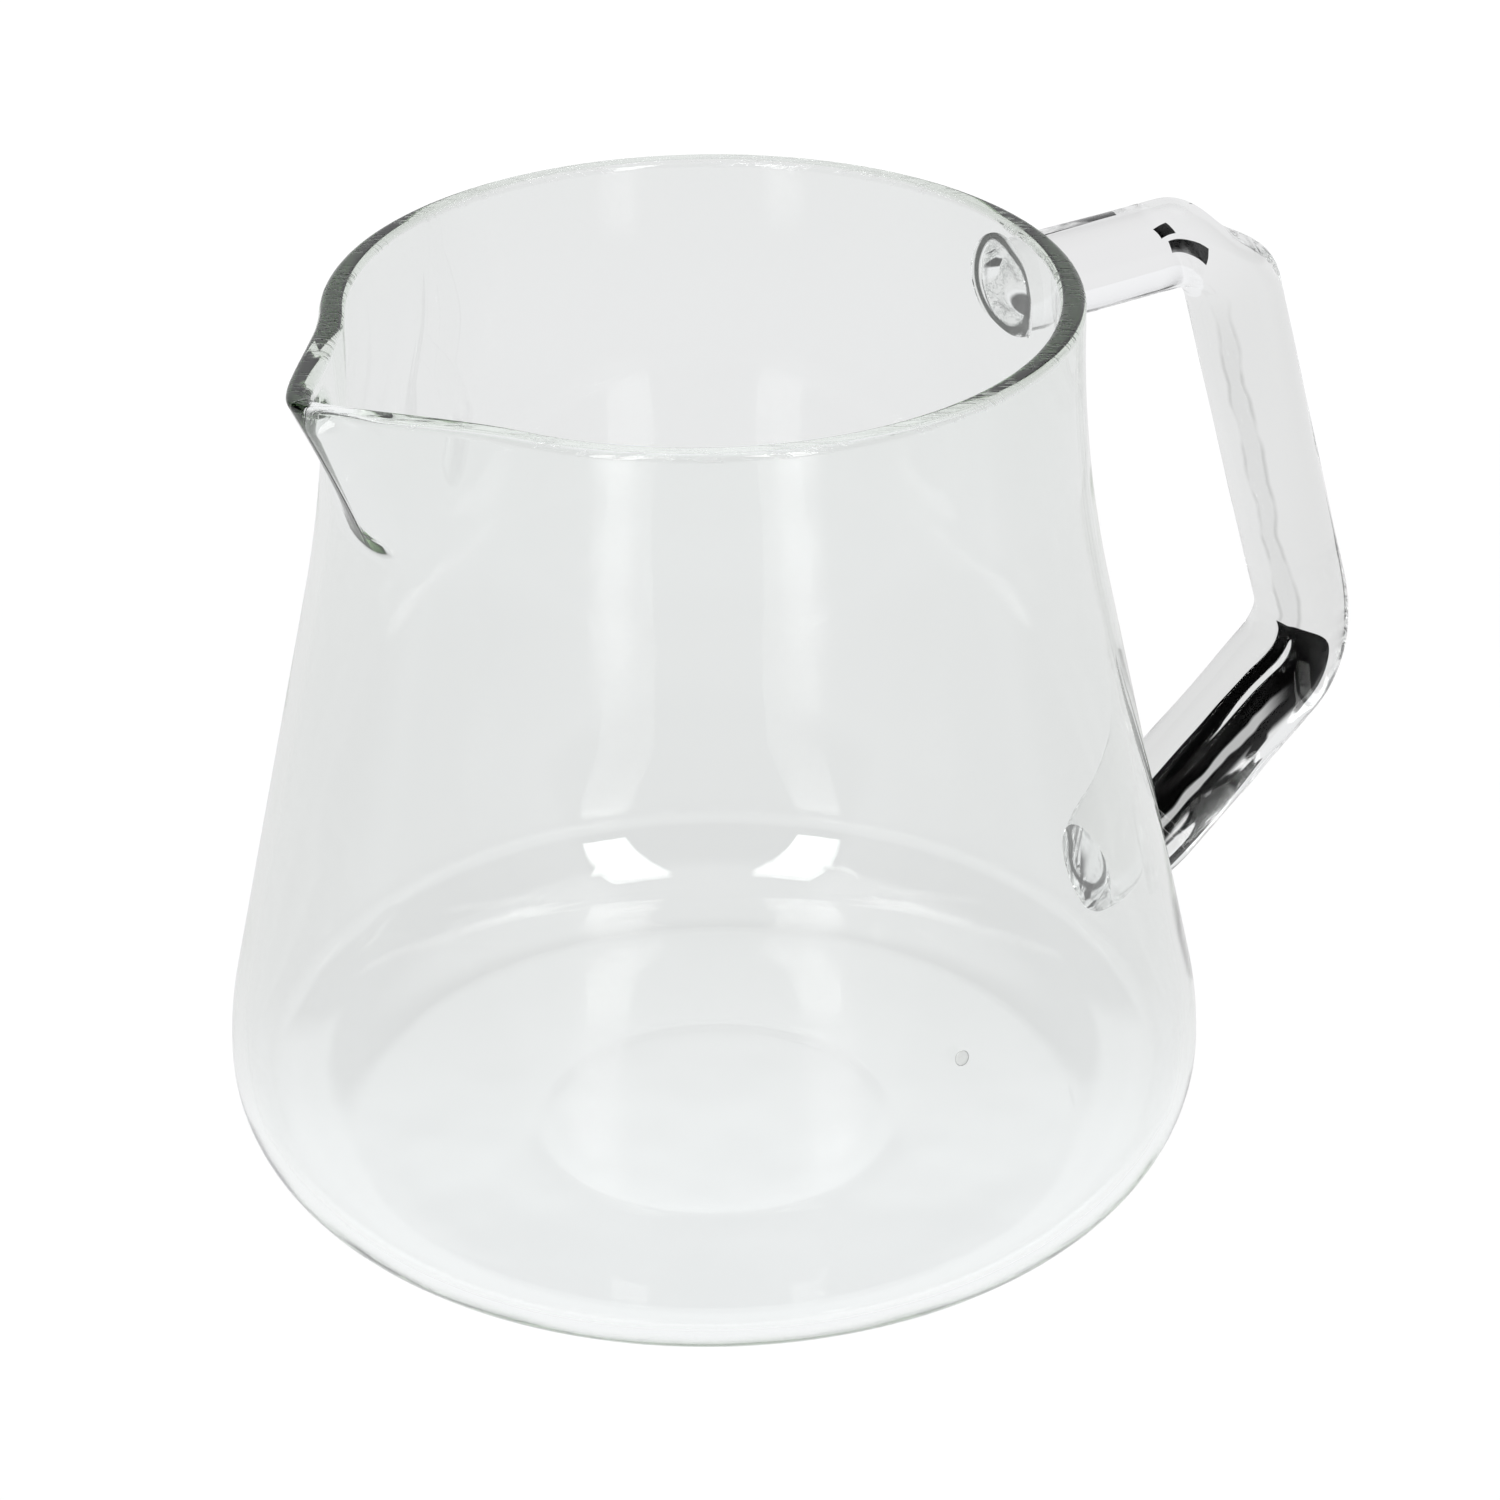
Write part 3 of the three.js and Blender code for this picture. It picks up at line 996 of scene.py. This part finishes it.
        place = graph.node("GeometryNodeInputPosition")[0]
        outside = graph.vector("CROSS_PRODUCT", kept["Ahead"], (0.0, 1.0, 0.0))[0]
        from_middle = graph.vector("SUBTRACT", place, kept["Middle"])[0]
        outward = graph.vector("DOT_PRODUCT", from_middle, outside)["Value"]
        outer = outward.most(0.0) / radius
        bend_length = given["Upper Bend End"] - given["Upper Bend Start"]
        bent = (along - given["Upper Bend Start"]) / bend_length
        in_bend = bent.above(0.0) * bent.below(1.0)
        flatter = in_bend * (bent * math.pi).sine() ** 2.0 * outer * given["Elbow Flattening"]
        pressed = graph.scaled(outside, 0.0 - flatter)
        near_end = along.ramp(0.0, given["Bend Radius"])
        near_end = near_end * (length - along).ramp(0.0, given["Bend Radius"])
        per_metre = 1.0 / given["Wave Size"]
        wavy = {"Vector": place, "W": given["Wave Seed"], "Scale": per_metre, "Detail": 1.0}
        waves = graph.node("ShaderNodeTexNoise", {"noise_dimensions": "4D"}, wavy)["Fac"]
        sideways = graph.vector("DOT_PRODUCT", from_middle, (0.0, -1.0, 0.0))["Value"]
        wander = (waves - 0.5) * given["Line Wander"]
        off_line = (sideways.math("ARCTAN2", sideways, outward) - given["Line Side"] + wander).size()
        line = off_line.ramp(0.0, given["Line Width"], given["Line Depth"], 0.0)
        waviness = given["Waviness"] + lower * (given["Foot Waviness"] - given["Waviness"])
        deeper = line * (1.0 + lower * given["Foot Line"])
        wave = ((waves - 0.5) * waviness - deeper) * near_end
        waved = graph.scaled(graph.node("GeometryNodeInputNormal")[0], wave)
        offset = graph.vector("ADD", pressed, waved)[0]
        axes = {"X": outward / radius, "Y": sideways / radius, "Z": along}
        around = graph.node("ShaderNodeCombineXYZ", {}, axes)[0]
        edge = given["Ring Spacing"] * self.cap_share
        at_cap = along.below(edge).most((length - along).below(edge))

        stored = {"data_type": "FLOAT_VECTOR", "domain": "POINT"}
        rod = swept["Mesh"]
        for kind, settings, sockets in (
            ("GeometryNodeStoreNamedAttribute", stored, {"Name": ROUND_THE_ROD, "Value": around}),
            ("GeometryNodeSetPosition", {}, {"Offset": offset}),
            ("GeometryNodeSetShadeSmooth", {}, {"Shade Smooth": 1.0 - at_cap}),
            ("GeometryNodeRealizeInstances", {}, {}),
            ("GeometryNodeSetMaterial", {}, {"Material": given["Glass"]}),
            ("GeometryNodeSetMaterial", {}, {"Selection": at_cap, "Material": given["Seam"]}),
        ):
            rod = graph.node(kind, settings, {"Geometry": rod, **sockets})["Geometry"]
        graph.node("NodeGroupOutput", {}, {"Geometry": rod})
        return tree

    def rod_inputs(self) -> dict[str, Any]:
        """The sizes and materials that the rod's tree takes, by input name.

        Returns:
            Floats, one whole number and two materials.
        """
        limits = ("Upper Bend Start", "Upper Bend End", "Lower Bend Start", "Lower Bend End")
        sizes = (
            "bend_radius", "ring_spacing", "rod_sides", "arm_radius", "grip_radius", "foot_radius",
            "elbow_flattening", "waviness", "foot_waviness", "foot_line", "wave_size", "wave_seed",
            "line_side", "line_width", "line_depth", "line_wander", "glass", "seam",
        )
        named = {size.replace("_", " ").title(): getattr(self, size) for size in sizes}
        return dict(zip(limits, self.stretches())) | named

    def build_rod(self) -> bpy.types.Object:
        """Sweeps the rod and turns it into a plain mesh.

        Returns:
            The dressed rod.
        """
        top, elbow, knee, foot = self.corners()
        start = top + self.upper_weld_length * (elbow - top).normalized()
        end = foot + self.lower_weld_length * (knee - foot).normalized()
        line = bpy.data.meshes.new("rod_line")
        line.from_pydata([start, elbow, knee, end], [(0, 1), (1, 2), (2, 3)], [])
        guide = shown("rod_line", line)
        modifier = guide.modifiers.new("bent_glass_rod", "NODES")
        modifier.node_group = self.rod_tree()
        identifiers = {item.name: item.identifier for item in modifier.node_group.interface.items_tree}
        for name, value in self.rod_inputs().items():
            modifier[identifiers[name]] = value
        evaluated = guide.evaluated_get(bpy.context.evaluated_depsgraph_get())
        mesh = bpy.data.meshes.new_from_object(evaluated)
        mesh.name = "bent_rod"
        guide.modifiers.remove(modifier)
        bpy.data.objects.remove(guide)
        return settle(shown("bent_rod", mesh), "handle")

    def weld_radius(self, form: WeldForm, distance: float) -> float:
        """The radius of a weld at a distance from the wall.

        Args:
            form: how the weld meets the wall.
            distance: along the rod's line, below 0 inside the wall.

        Returns:
            The radius.
        """
        if form is WeldForm.FLARED:
            near = min(self.upper_weld_flare, max(0.0, self.upper_weld_flare - distance))
            hollow = math.sqrt(self.upper_weld_flare**2 - near**2)
            return self.arm_radius + self.upper_weld_flare - hollow
        share = (self.lower_weld_length - distance) / (self.lower_weld_length + self.lower_weld_sink)
        return self.foot_radius * math.sqrt(max(0.0, 1.0 - share**2))

    def on_wall(self, point: Vector) -> Vector:
        """That point, moved level with its height to just off the wall's outside."""
        outward = Vector((point.x, point.y, 0.0)).normalized()
        return outward * (self.wall.radius(point.z) + HAIRLINE) + Vector((0.0, 0.0, point.z))

    def build_weld(self, name: str, node: str, form: WeldForm) -> bpy.types.Object:
        """Makes one weld: a swelling of the rod that ends on the round wall.

        Args:
            name: the piece's name.
            node: the CAD node that it stands for.
            form: how it meets the wall.

        Returns:
            The dressed weld.
        """
        top, elbow, knee, foot = self.corners()
        upper = form is WeldForm.FLARED
        root, toward = (top, elbow - top) if upper else (foot, knee - foot)
        ahead = toward.normalized()
        length = (self.upper_weld_length if upper else self.lower_weld_length) - HAIRLINE
        deepest = -self.arm_radius if upper else -self.lower_weld_sink
        across = Vector((0.0, 1.0, 0.0))
        over = across.cross(ahead)
        turns = full_turn(self.rod_sides)

        def surface(distance: float, turn: float) -> Vector:
            """A point of the weld's round side."""
            side = math.cos(turn) * across + math.sin(turn) * over
            return root + ahead * distance + side * self.weld_radius(form, distance)

        def reach(turn: float) -> float:
            """Finds where the weld's side meets the wall, by halving.

            Args:
                turn: the direction round the rod.

            Returns:
                The distance along the rod's line.
            """
            low, high = deepest, length
            for _ in range(self.weld_halvings):
                middle = (low + high) / 2
                point = surface(middle, turn)
                if math.hypot(point.x, point.y) > self.wall.radius(point.z) + HAIRLINE:
                    high = middle
                else:
                    low = middle
            return high

        shell = Shell()
        ends = [reach(turn) for turn in turns]
        rings = []
        for share in evenly(self.weld_rings):
            reached = 1.0 - (1.0 - share) ** 2
            distances = [length + (end - length) * reached for end in ends]
            rings.append(shell.ring([surface(at, turn) for at, turn in zip(distances, turns)]))
        for near, far in zip(rings, rings[1:]):
            shell.band(near, far)
        middle = shell.ring([root + ahead * length])
        cap_start = len(shell.faces)
        shell.band(middle, rings[0])
        cap_end = len(shell.faces)
        contact = [shell.points[index] for index in rings[-1]]
        centre = sum(contact, Vector()) / len(contact)
        inward = evenly(self.cap_rings)[1:-1]
        caps = [[self.on_wall(point.lerp(centre, share)) for point in contact] for share in inward]
        shell.loft([*caps, [self.on_wall(centre)]], rings[-1])

        # places the seal's rings of painted shade round this weld
        ring = self.weld_radius(form, 0.0) * (self.seal_share if upper else self.lower_seal_share)
        hub = root + Vector((0.0, 0.0, 0.0 if upper else self.lower_seal_rise))
        placed = {"root": tuple(hub), "axis": tuple(ahead), "ring_radius": ring}
        seal = replace(self.seal, name=f"{name}_seal", **placed)
        dress = {
            WeldFace.SIDE: self.weld_glass,
            WeldFace.JOINT: self.seam,
            WeldFace.SEAL: seal.material(),
        }
        piece = shell.piece(name, [dress[slot] for slot in WeldFace])
        for face in piece.data.polygons[cap_start:cap_end]:
            face.material_index = WeldFace.JOINT
            face.use_smooth = False
        for face in piece.data.polygons[cap_end:]:
            face.material_index = WeldFace.SEAL
        rim = set(rings[-1])
        for edge in piece.data.edges:
            edge.use_edge_sharp = rim.issuperset(edge.vertices)
        return settle(piece, node)

    def build(self) -> list[bpy.types.Object]:
        """Builds the rod and its two welds.

        Returns:
            The rod, the upper weld and the lower weld.
        """
        upper = self.build_weld("flared_weld", "upper_weld", WeldForm.FLARED)
        lower = self.build_weld("rounded_weld", "lower_weld", WeldForm.ROUNDED)
        return [self.build_rod(), upper, lower]


@dataclass
class FillMark:
    """The printed dot on the outside of the wall."""

    wall: Wall
    enamel: bpy.types.Material
    radius: float = 0.00085
    thickness: float = 0.00003
    height: float = 0.0353
    side: float = math.radians(-91.6)
    rings: int = 6
    sides: int = 48

    def point(self, share: float, turn: float, lift: float) -> Vector:
        """A point over the wall.

        Args:
            share: how far out from the dot's middle, 1 at its edge.
            turn: the direction from the middle, 0 level.
            lift: how far it stands off the glass.

        Returns:
            The point.
        """
        height = self.height + self.radius * share * math.sin(turn) * math.cos(self.wall.lean)
        radius = self.wall.radius(height) + HAIRLINE
        angle = self.side + self.radius * share * math.cos(turn) / radius
        lean = self.wall.lean
        level = radius + lift * math.cos(lean)
        raised = height + lift * math.sin(lean)
        return Vector((level * math.cos(angle), level * math.sin(angle), raised))

    def build(self) -> bpy.types.Object:
        """Makes a low domed dot that follows the wall.

        Returns:
            The dressed dot.
        """
        turns = full_turn(self.sides)
        rings = [[self.point(0.0, 0.0, 0.0)]]
        for share in evenly(self.rings)[1:]:
            rings.append([self.point(share, turn, 0.0) for turn in turns])
        for share in evenly(self.rings, 1.0, 0.0)[1:-1]:
            lift = self.thickness * math.sqrt(1.0 - share**2)
            rings.append([self.point(share, turn, lift) for turn in turns])
        rings.append([self.point(0.0, 0.0, self.thickness)])
        shell = Shell()
        shell.loft(rings)
        return settle(shell.piece("printed_dot", [self.enamel]), "fill_mark")


@dataclass
class Viewpoint:
    """The camera, where the photograph was taken from."""

    side: float = CAMERA_SIDE
    distance: float = 0.5102
    height: float = 0.3225
    pitch: float = math.radians(28.217)
    yaw: float = math.radians(0.5)
    roll: float = math.radians(-0.701)
    focal_length: float = 5200.0
    image_size: float = 1500.0
    sensor: float = 36.0

    def build(self) -> None:
        """Makes the scene's camera."""
        place = Vector((self.distance, 0.0, self.height))
        level = math.cos(self.pitch)
        ahead = Vector((-level * math.cos(self.yaw), level * math.sin(self.yaw), -math.sin(self.pitch)))
        right = ahead.cross(Vector((0.0, 0.0, 1.0))).normalized()
        up = right.cross(ahead)
        turned_right = right * math.cos(self.roll) + up * math.sin(self.roll)
        turned_up = up * math.cos(self.roll) - right * math.sin(self.roll)
        axes = Matrix((turned_right, turned_up, -ahead)).transposed().to_4x4()
        data = bpy.data.cameras.new("camera")
        data.sensor_width = self.sensor
        data.lens = self.focal_length / self.image_size * self.sensor
        camera = bpy.data.objects.new("camera", data)
        camera.matrix_world = Matrix.Rotation(self.side, 4, "Z") @ Matrix.Translation(place) @ axes
        bpy.context.collection.objects.link(camera)
        bpy.context.scene.camera = camera


@dataclass(frozen=True)
class Card:
    """A flat dark card, by its first corner and its two sizes."""

    left: float
    low: float
    wide: float
    tall: float

    def corners(self, start: Vector, across: Vector, up: Vector) -> list[Vector]:
        """Its corners in order, from a starting point and the directions of its width and height."""
        steps = ((0.0, 0.0), (self.wide, 0.0), (self.wide, self.tall), (0.0, self.tall))
        return [start + across * (self.left + wide) + up * (self.low + tall) for wide, tall in steps]


@dataclass
class Studio:
    """A pale floor, two tall soft lamps beside the camera, a dark room, a light ceiling and dark cards
    that paint shade into the handle.
    """

    camera_side: float = CAMERA_SIDE
    floor_radius: float = 4.0
    floor_sides: int = 96
    floor_paint: Triple = (0.8, 0.8, 0.8)
    floor_drop: float = 0.0003
    floor_pale: float = 0.975
    pale_tint: Triple = (0.98, 0.985, 1.0)
    shade_colour: Triple = (0.81, 0.81, 0.815)
    shade_span: Span = Span(-0.05, 0.035)
    far_shade_span: Span = Span(-0.18, -0.12)
    shade_far_share: float = 0.85
    floor_white: float = 1.09
    floor_paint_share: float = 0.2
    floor_paint_span: Span = Span(0.15, 0.40)
    floor_gloss: float = 7.0
    floor_gloss_fall: float = 1.5
    floor_gloss_roughness: float = 0.22
    near_gloss_rise: Span = Span(-0.012, 0.010)
    near_gloss_fall: Span = Span(0.030, 0.055)
    near_gloss_share: float = 0.6
    far_gloss_rise: Span = Span(0.16, 0.25)
    far_gloss_fall: Span = Span(0.36, 0.54)
    backdrop_pale: float = 0.92
    camera_side_share: float = 0.12
    room_dark: float = 0.03
    room_span: Span = Span(math.sin(math.radians(2.0)), math.sin(math.radians(8.0)))
    ceiling_span: Span = Span(math.sin(math.radians(42.0)), math.sin(math.radians(58.0)))
    backdrop_side: Span = Span(math.cos(math.radians(56.0)), math.cos(math.radians(42.0)))
    backdrop_top: Span = Span(math.sin(math.radians(31.0)), math.sin(math.radians(35.0)))
    lamp_turn: float = math.radians(27.0)
    lamp_rise: float = math.radians(39.0)
    lamp_distance: float = 1.2
    lamp_width: float = 0.24
    lamp_length: float = 1.1
    lamp_power: float = 5.2
    # dark cards that paint shade into the handle, seen only through one thickness of glass
    flag_ahead: float = 0.060
    flag_left_edge: float = 0.040
    flag_right_foot: float = 0.061
    flag_right_top: float = 0.076
    flag_foot: float = 0.003
    flag_left_height: float = 0.027
    flag_right_height: float = 0.034
    flag_floor_start: float = 0.030
    flag_floor_left: float = 0.046
    flag_floor_rise: float = 0.0004
    slit_across: Triple = (-0.742, 0.378, 0.553)
    slit_place: float = -0.0115
    slit_width: float = 0.0011
    slit_wander: float = 0.004
    slit_wave: float = 0.009
    slit_clear: float = 0.65
    slit_fall: Span = Span(0.023, 0.028)
    spots_rise: Span = Span(0.0025, 0.0045)
    spot_size: float = 0.008
    spot_span: Span = Span(0.50, 0.56)
    # small cards that paint dark blobs of shade at the elbow, and one by the arm that paints a dark line
    # along it
    shade_card_ahead: float = 0.046
    upper_shade_card: Card = Card(0.0524, 0.0889, 0.0040, 0.0014)
    lower_shade_card: Card = Card(0.0515, 0.0862, 0.0029, 0.0020)
    arm_shade_card: Card = Card(0.0490, 0.0032, 0.0115, 0.0019)
    arm_card_height: float = 0.0894
    glass_bounces: int = 96
    screened: bpy.types.Collection = field(init=False)

    def __post_init__(self) -> None:
        """Starts with nothing screened from the lamps."""
        self.screened = bpy.data.collections.new("screened_from_lamps")

    def ahead(self) -> Vector:
        """The level direction in which the camera looks."""
        return Vector((-math.cos(self.camera_side), -math.sin(self.camera_side), 0.0))

    def build_floor(self) -> None:
        """Makes the floor: white to the camera with a soft shadow; pale and glossy to the glass, with
        painted shade under and beyond the vessel.
        """
        material, graph = new_material("studio_floor")
        path = graph.node("ShaderNodeLightPath")
        paint = graph.node("ShaderNodeBsdfDiffuse", {}, {"Color": (*self.floor_paint, 1.0)})
        white = graph.node("ShaderNodeEmission", {}, {"Strength": self.floor_white})
        nearer = graph.vector("DOT_PRODUCT", object_place(graph), -self.ahead())["Value"]
        # painted shade: seen through the glass, the floor under and beyond the vessel is darker and more
        # neutral
        shaded = nearer.ramp(*self.shade_span, 1.0, 0.0)
        shaded = shaded * nearer.ramp(*self.far_shade_span, self.shade_far_share, 1.0)
        plain = [level * self.floor_pale for level in self.pale_tint]
        colour = graph.tint(shaded, (*plain, 1.0), (*self.shade_colour, 1.0))
        pale = graph.node("ShaderNodeEmission", {}, {"Color": colour, "Strength": 1.0})
        gloss = graph.node("ShaderNodeBsdfGlossy", {}, {"Roughness": self.floor_gloss_roughness})
        away = graph.vector("LENGTH", object_place(graph))["Value"]
        close = nearer.ramp(*self.near_gloss_rise, 0.0, self.near_gloss_share)
        close = close * nearer.ramp(*self.near_gloss_fall, 1.0, 0.0)
        far = nearer.ramp(*self.far_gloss_rise)
        far = far * nearer.ramp(*self.far_gloss_fall, 1.0, 0.0)
        in_front = close.most(far)
        mirrored = graph.node("ShaderNodeFresnel")[0] ** self.floor_gloss_fall
        mirrored = mirrored * self.floor_gloss * in_front
        unlit = graph.node("ShaderNodeEmission", {}, {"Strength": 0.0})
        mirror = graph.mix_shaders(mirrored, unlit[0], gloss[0])
        to_glass = graph.node("ShaderNodeAddShader", {}, {0: pale[0], 1: mirror})[0]
        by_glass = path["Is Glossy Ray"].most(path["Is Transmission Ray"])
        painted = away.ramp(*self.floor_paint_span, self.floor_paint_share, 0.0)
        to_camera = graph.mix_shaders(path["Is Camera Ray"] * (1.0 - painted), paint[0], white[0])
        surface = graph.mix_shaders(by_glass, to_camera, to_glass)
        graph.node("ShaderNodeOutputMaterial", {}, {"Surface": surface})
        shell = Shell()
        turns = evenly(self.floor_sides, 0.0, 2 * math.pi)[1:]
        middle = Vector((0.0, 0.0, -self.floor_drop))
        directions = [Vector((math.cos(turn), math.sin(turn), 0.0)) for turn in turns]
        edge = [middle + self.floor_radius * direction for direction in directions]
        shell.loft([edge, [middle]])
        shell.piece("studio_floor", [material])

    def build_room(self) -> None:
        """Makes the world: white to the camera, and to the glass a dark room with pale parts."""
        world = bpy.data.worlds.new("studio")
        world.use_nodes = True
        graph = Graph(world.node_tree)
        direction = graph.node("ShaderNodeTexCoord")["Generated"]
        rise = graph.node("ShaderNodeSeparateXYZ", {}, {0: direction})["Z"]
        ahead = graph.vector("DOT_PRODUCT", direction, self.ahead())["Value"]
        turned = ahead / (1.0 - rise * rise).most(HAIRLINE) ** 0.5
        below = 1.0 - rise.ramp(*self.room_span)
        ceiling = rise.ramp(*self.ceiling_span)
        backdrop = turned.ramp(*self.backdrop_side)
        backdrop = backdrop * rise.ramp(*self.backdrop_top, 1.0, 0.0)
        behind = (0.0 - turned).ramp(*self.backdrop_side) * self.camera_side_share
        lit = below.most(ceiling).most(backdrop).most(behind)
        white = graph.node("ShaderNodeBackground", {}, {"Strength": 1.0})
        level = self.room_dark + lit * (self.backdrop_pale - self.room_dark)
        tinted = {"Color": (*self.pale_tint, 1.0), "Strength": level}
        room = graph.node("ShaderNodeBackground", {}, tinted)
        seen = graph.node("ShaderNodeLightPath")["Is Camera Ray"]
        surface = graph.mix_shaders(seen, room[0], white[0])
        graph.node("ShaderNodeOutputWorld", {}, {"Surface": surface})
        bpy.context.scene.world = world

    def build_lamps(self) -> None:
        """Makes the two tall lamps, which the camera itself doesn't see."""
        for name, turn in (("lamp_left", -self.lamp_turn), ("lamp_right", self.lamp_turn)):
            data = bpy.data.lights.new(name, "AREA")
            data.shape = "RECTANGLE"
            data.size = self.lamp_width
            data.size_y = self.lamp_length
            data.energy = self.lamp_power
            lamp = bpy.data.objects.new(name, data)
            side = self.camera_side + turn
            level = self.lamp_distance * math.cos(self.lamp_rise)
            height = self.lamp_distance * math.sin(self.lamp_rise)
            place = Vector((level * math.cos(side), level * math.sin(side), height))
            facing = (-place).to_track_quat("-Z", "Y").to_matrix().to_4x4()
            lamp.matrix_world = Matrix.Translation(place) @ facing
            lamp.visible_camera = False
            if turn > 0.0:
                lamp.light_linking.receiver_collection = self.screened
            bpy.context.collection.objects.link(lamp)

    def screen(self, piece: bpy.types.Object) -> None:
        """Keeps the right lamp's light off one piece, as a screen beside that lamp does.

        Args:
            piece: the piece.
        """
        self.screened.objects.link(piece)
        for entry in self.screened.collection_objects:
            entry.light_linking.link_state = "EXCLUDE"

    def build_flag(self) -> None:
        """Makes the dark cards round the handle, which show only through one thickness of glass and so
        paint shade into the handle, with a pale slit and spots that leave lighter marks in that shade.
        """
        material, graph = new_material("dark_flag")
        depth = graph.node("ShaderNodeLightPath")["Transmission Depth"]
        clear = graph.node("ShaderNodeBsdfTransparent")
        black = graph.node("ShaderNodeBsdfDiffuse", {}, {"Color": (0.0, 0.0, 0.0, 1.0)})
        through_one = depth.below(THROUGH_ONE_SOLID + 0.5) * depth.above(THROUGH_ONE_SOLID - 0.5)
        up = Vector((0.0, 0.0, 1.0))
        ahead = self.ahead()
        right = ahead.cross(up)
        place = object_place(graph)
        leans = [side * share for side, share in zip((right, ahead, up), self.slit_across)]
        across = graph.vector("DOT_PRODUCT", place, sum(leans, Vector()))["Value"] - self.slit_place
        wander = (graph.noise(place, self.slit_wave) - 0.5) * self.slit_wander
        height = graph.node("ShaderNodeSeparateXYZ", {}, {0: place})["Z"]
        slit = (across + wander).size().ramp(self.slit_width / 2, self.slit_width, self.slit_clear, 0.0)
        slit = slit * height.ramp(*self.slit_fall, 1.0, 0.0)
        spots = graph.noise(place, self.spot_size).ramp(*self.spot_span)
        spots = spots * across.ramp(*self.spots_rise)
        # painted shade: black where a ray has passed one thickness of glass, lighter in the slit and the
        # spots
        surface = graph.mix_shaders(through_one * (1.0 - slit.most(spots)), clear[0], black[0])
        graph.node("ShaderNodeOutputMaterial", {}, {"Surface": surface})
        corners = (
            (self.flag_left_edge, self.flag_foot),
            (self.flag_right_foot, self.flag_foot),
            (self.flag_right_top, self.flag_right_height),
            (self.flag_left_edge, self.flag_left_height),
        )
        points = [ahead * self.flag_ahead + right * side + up * height for side, height in corners]
        near = ahead * self.flag_floor_start + up * self.flag_floor_rise
        far = ahead * self.flag_ahead + up * self.flag_floor_rise
        points += [near + right * self.flag_floor_left, near + right * self.flag_right_foot]
        points += [far + right * self.flag_right_foot, far + right * self.flag_left_edge]
        # the elbow's blobs of painted shade and the arm's dark line
        for chip in (self.upper_shade_card, self.lower_shade_card):
            points += chip.corners(ahead * self.shade_card_ahead, right, up)
        along_arm, over_arm = Vector((1.0, 0.0, 0.0)), Vector((0.0, 1.0, 0.0))
        points += self.arm_shade_card.corners(up * self.arm_card_height, along_arm, over_arm)
        quads = [tuple(range(first, first + 4)) for first in range(0, len(points), 4)]
        flag = Shell(points, quads).piece("dark_flag", [material])
        flag.visible_camera = False
        flag.visible_diffuse = False
        flag.visible_glossy = False
        flag.visible_shadow = False

    def build(self) -> None:
        """Builds the studio, and lets light go far inside the glass."""
        self.build_floor()
        self.build_room()
        self.build_lamps()
        self.build_flag()
        scene = bpy.context.scene
        scene.view_settings.view_transform = "Standard"
        scene.cycles.max_bounces = self.glass_bounces
        scene.cycles.glossy_bounces = self.glass_bounces
        scene.cycles.transmission_bounces = self.glass_bounces


def main() -> None:
    """Builds the carafe and the studio, and reports each piece."""
    logging.basicConfig(level=logging.INFO, format="%(name)s: %(message)s")
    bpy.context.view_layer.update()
    _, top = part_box("vessel")
    wall = Wall(rim_height=top[2], body_radius=top[1])
    blown = BlownGlass("blown_glass", rim_height=wall.rim_height)
    drawn = DrawnGlass("drawn_glass")
    welded = RodGlass("weld_glass")
    seal = SealGlass("seal_glass")
    Viewpoint().build()
    studio = Studio()
    studio.build()
    Vessel(wall, blown.material()).build()
    rod, _, _ = Handle(wall, drawn.material(), welded.material(), FusedSeam().material(), seal).build()
    studio.screen(rod)
    FillMark(wall, GreyEnamel().material()).build()


if __name__ == "__main__":
    main()
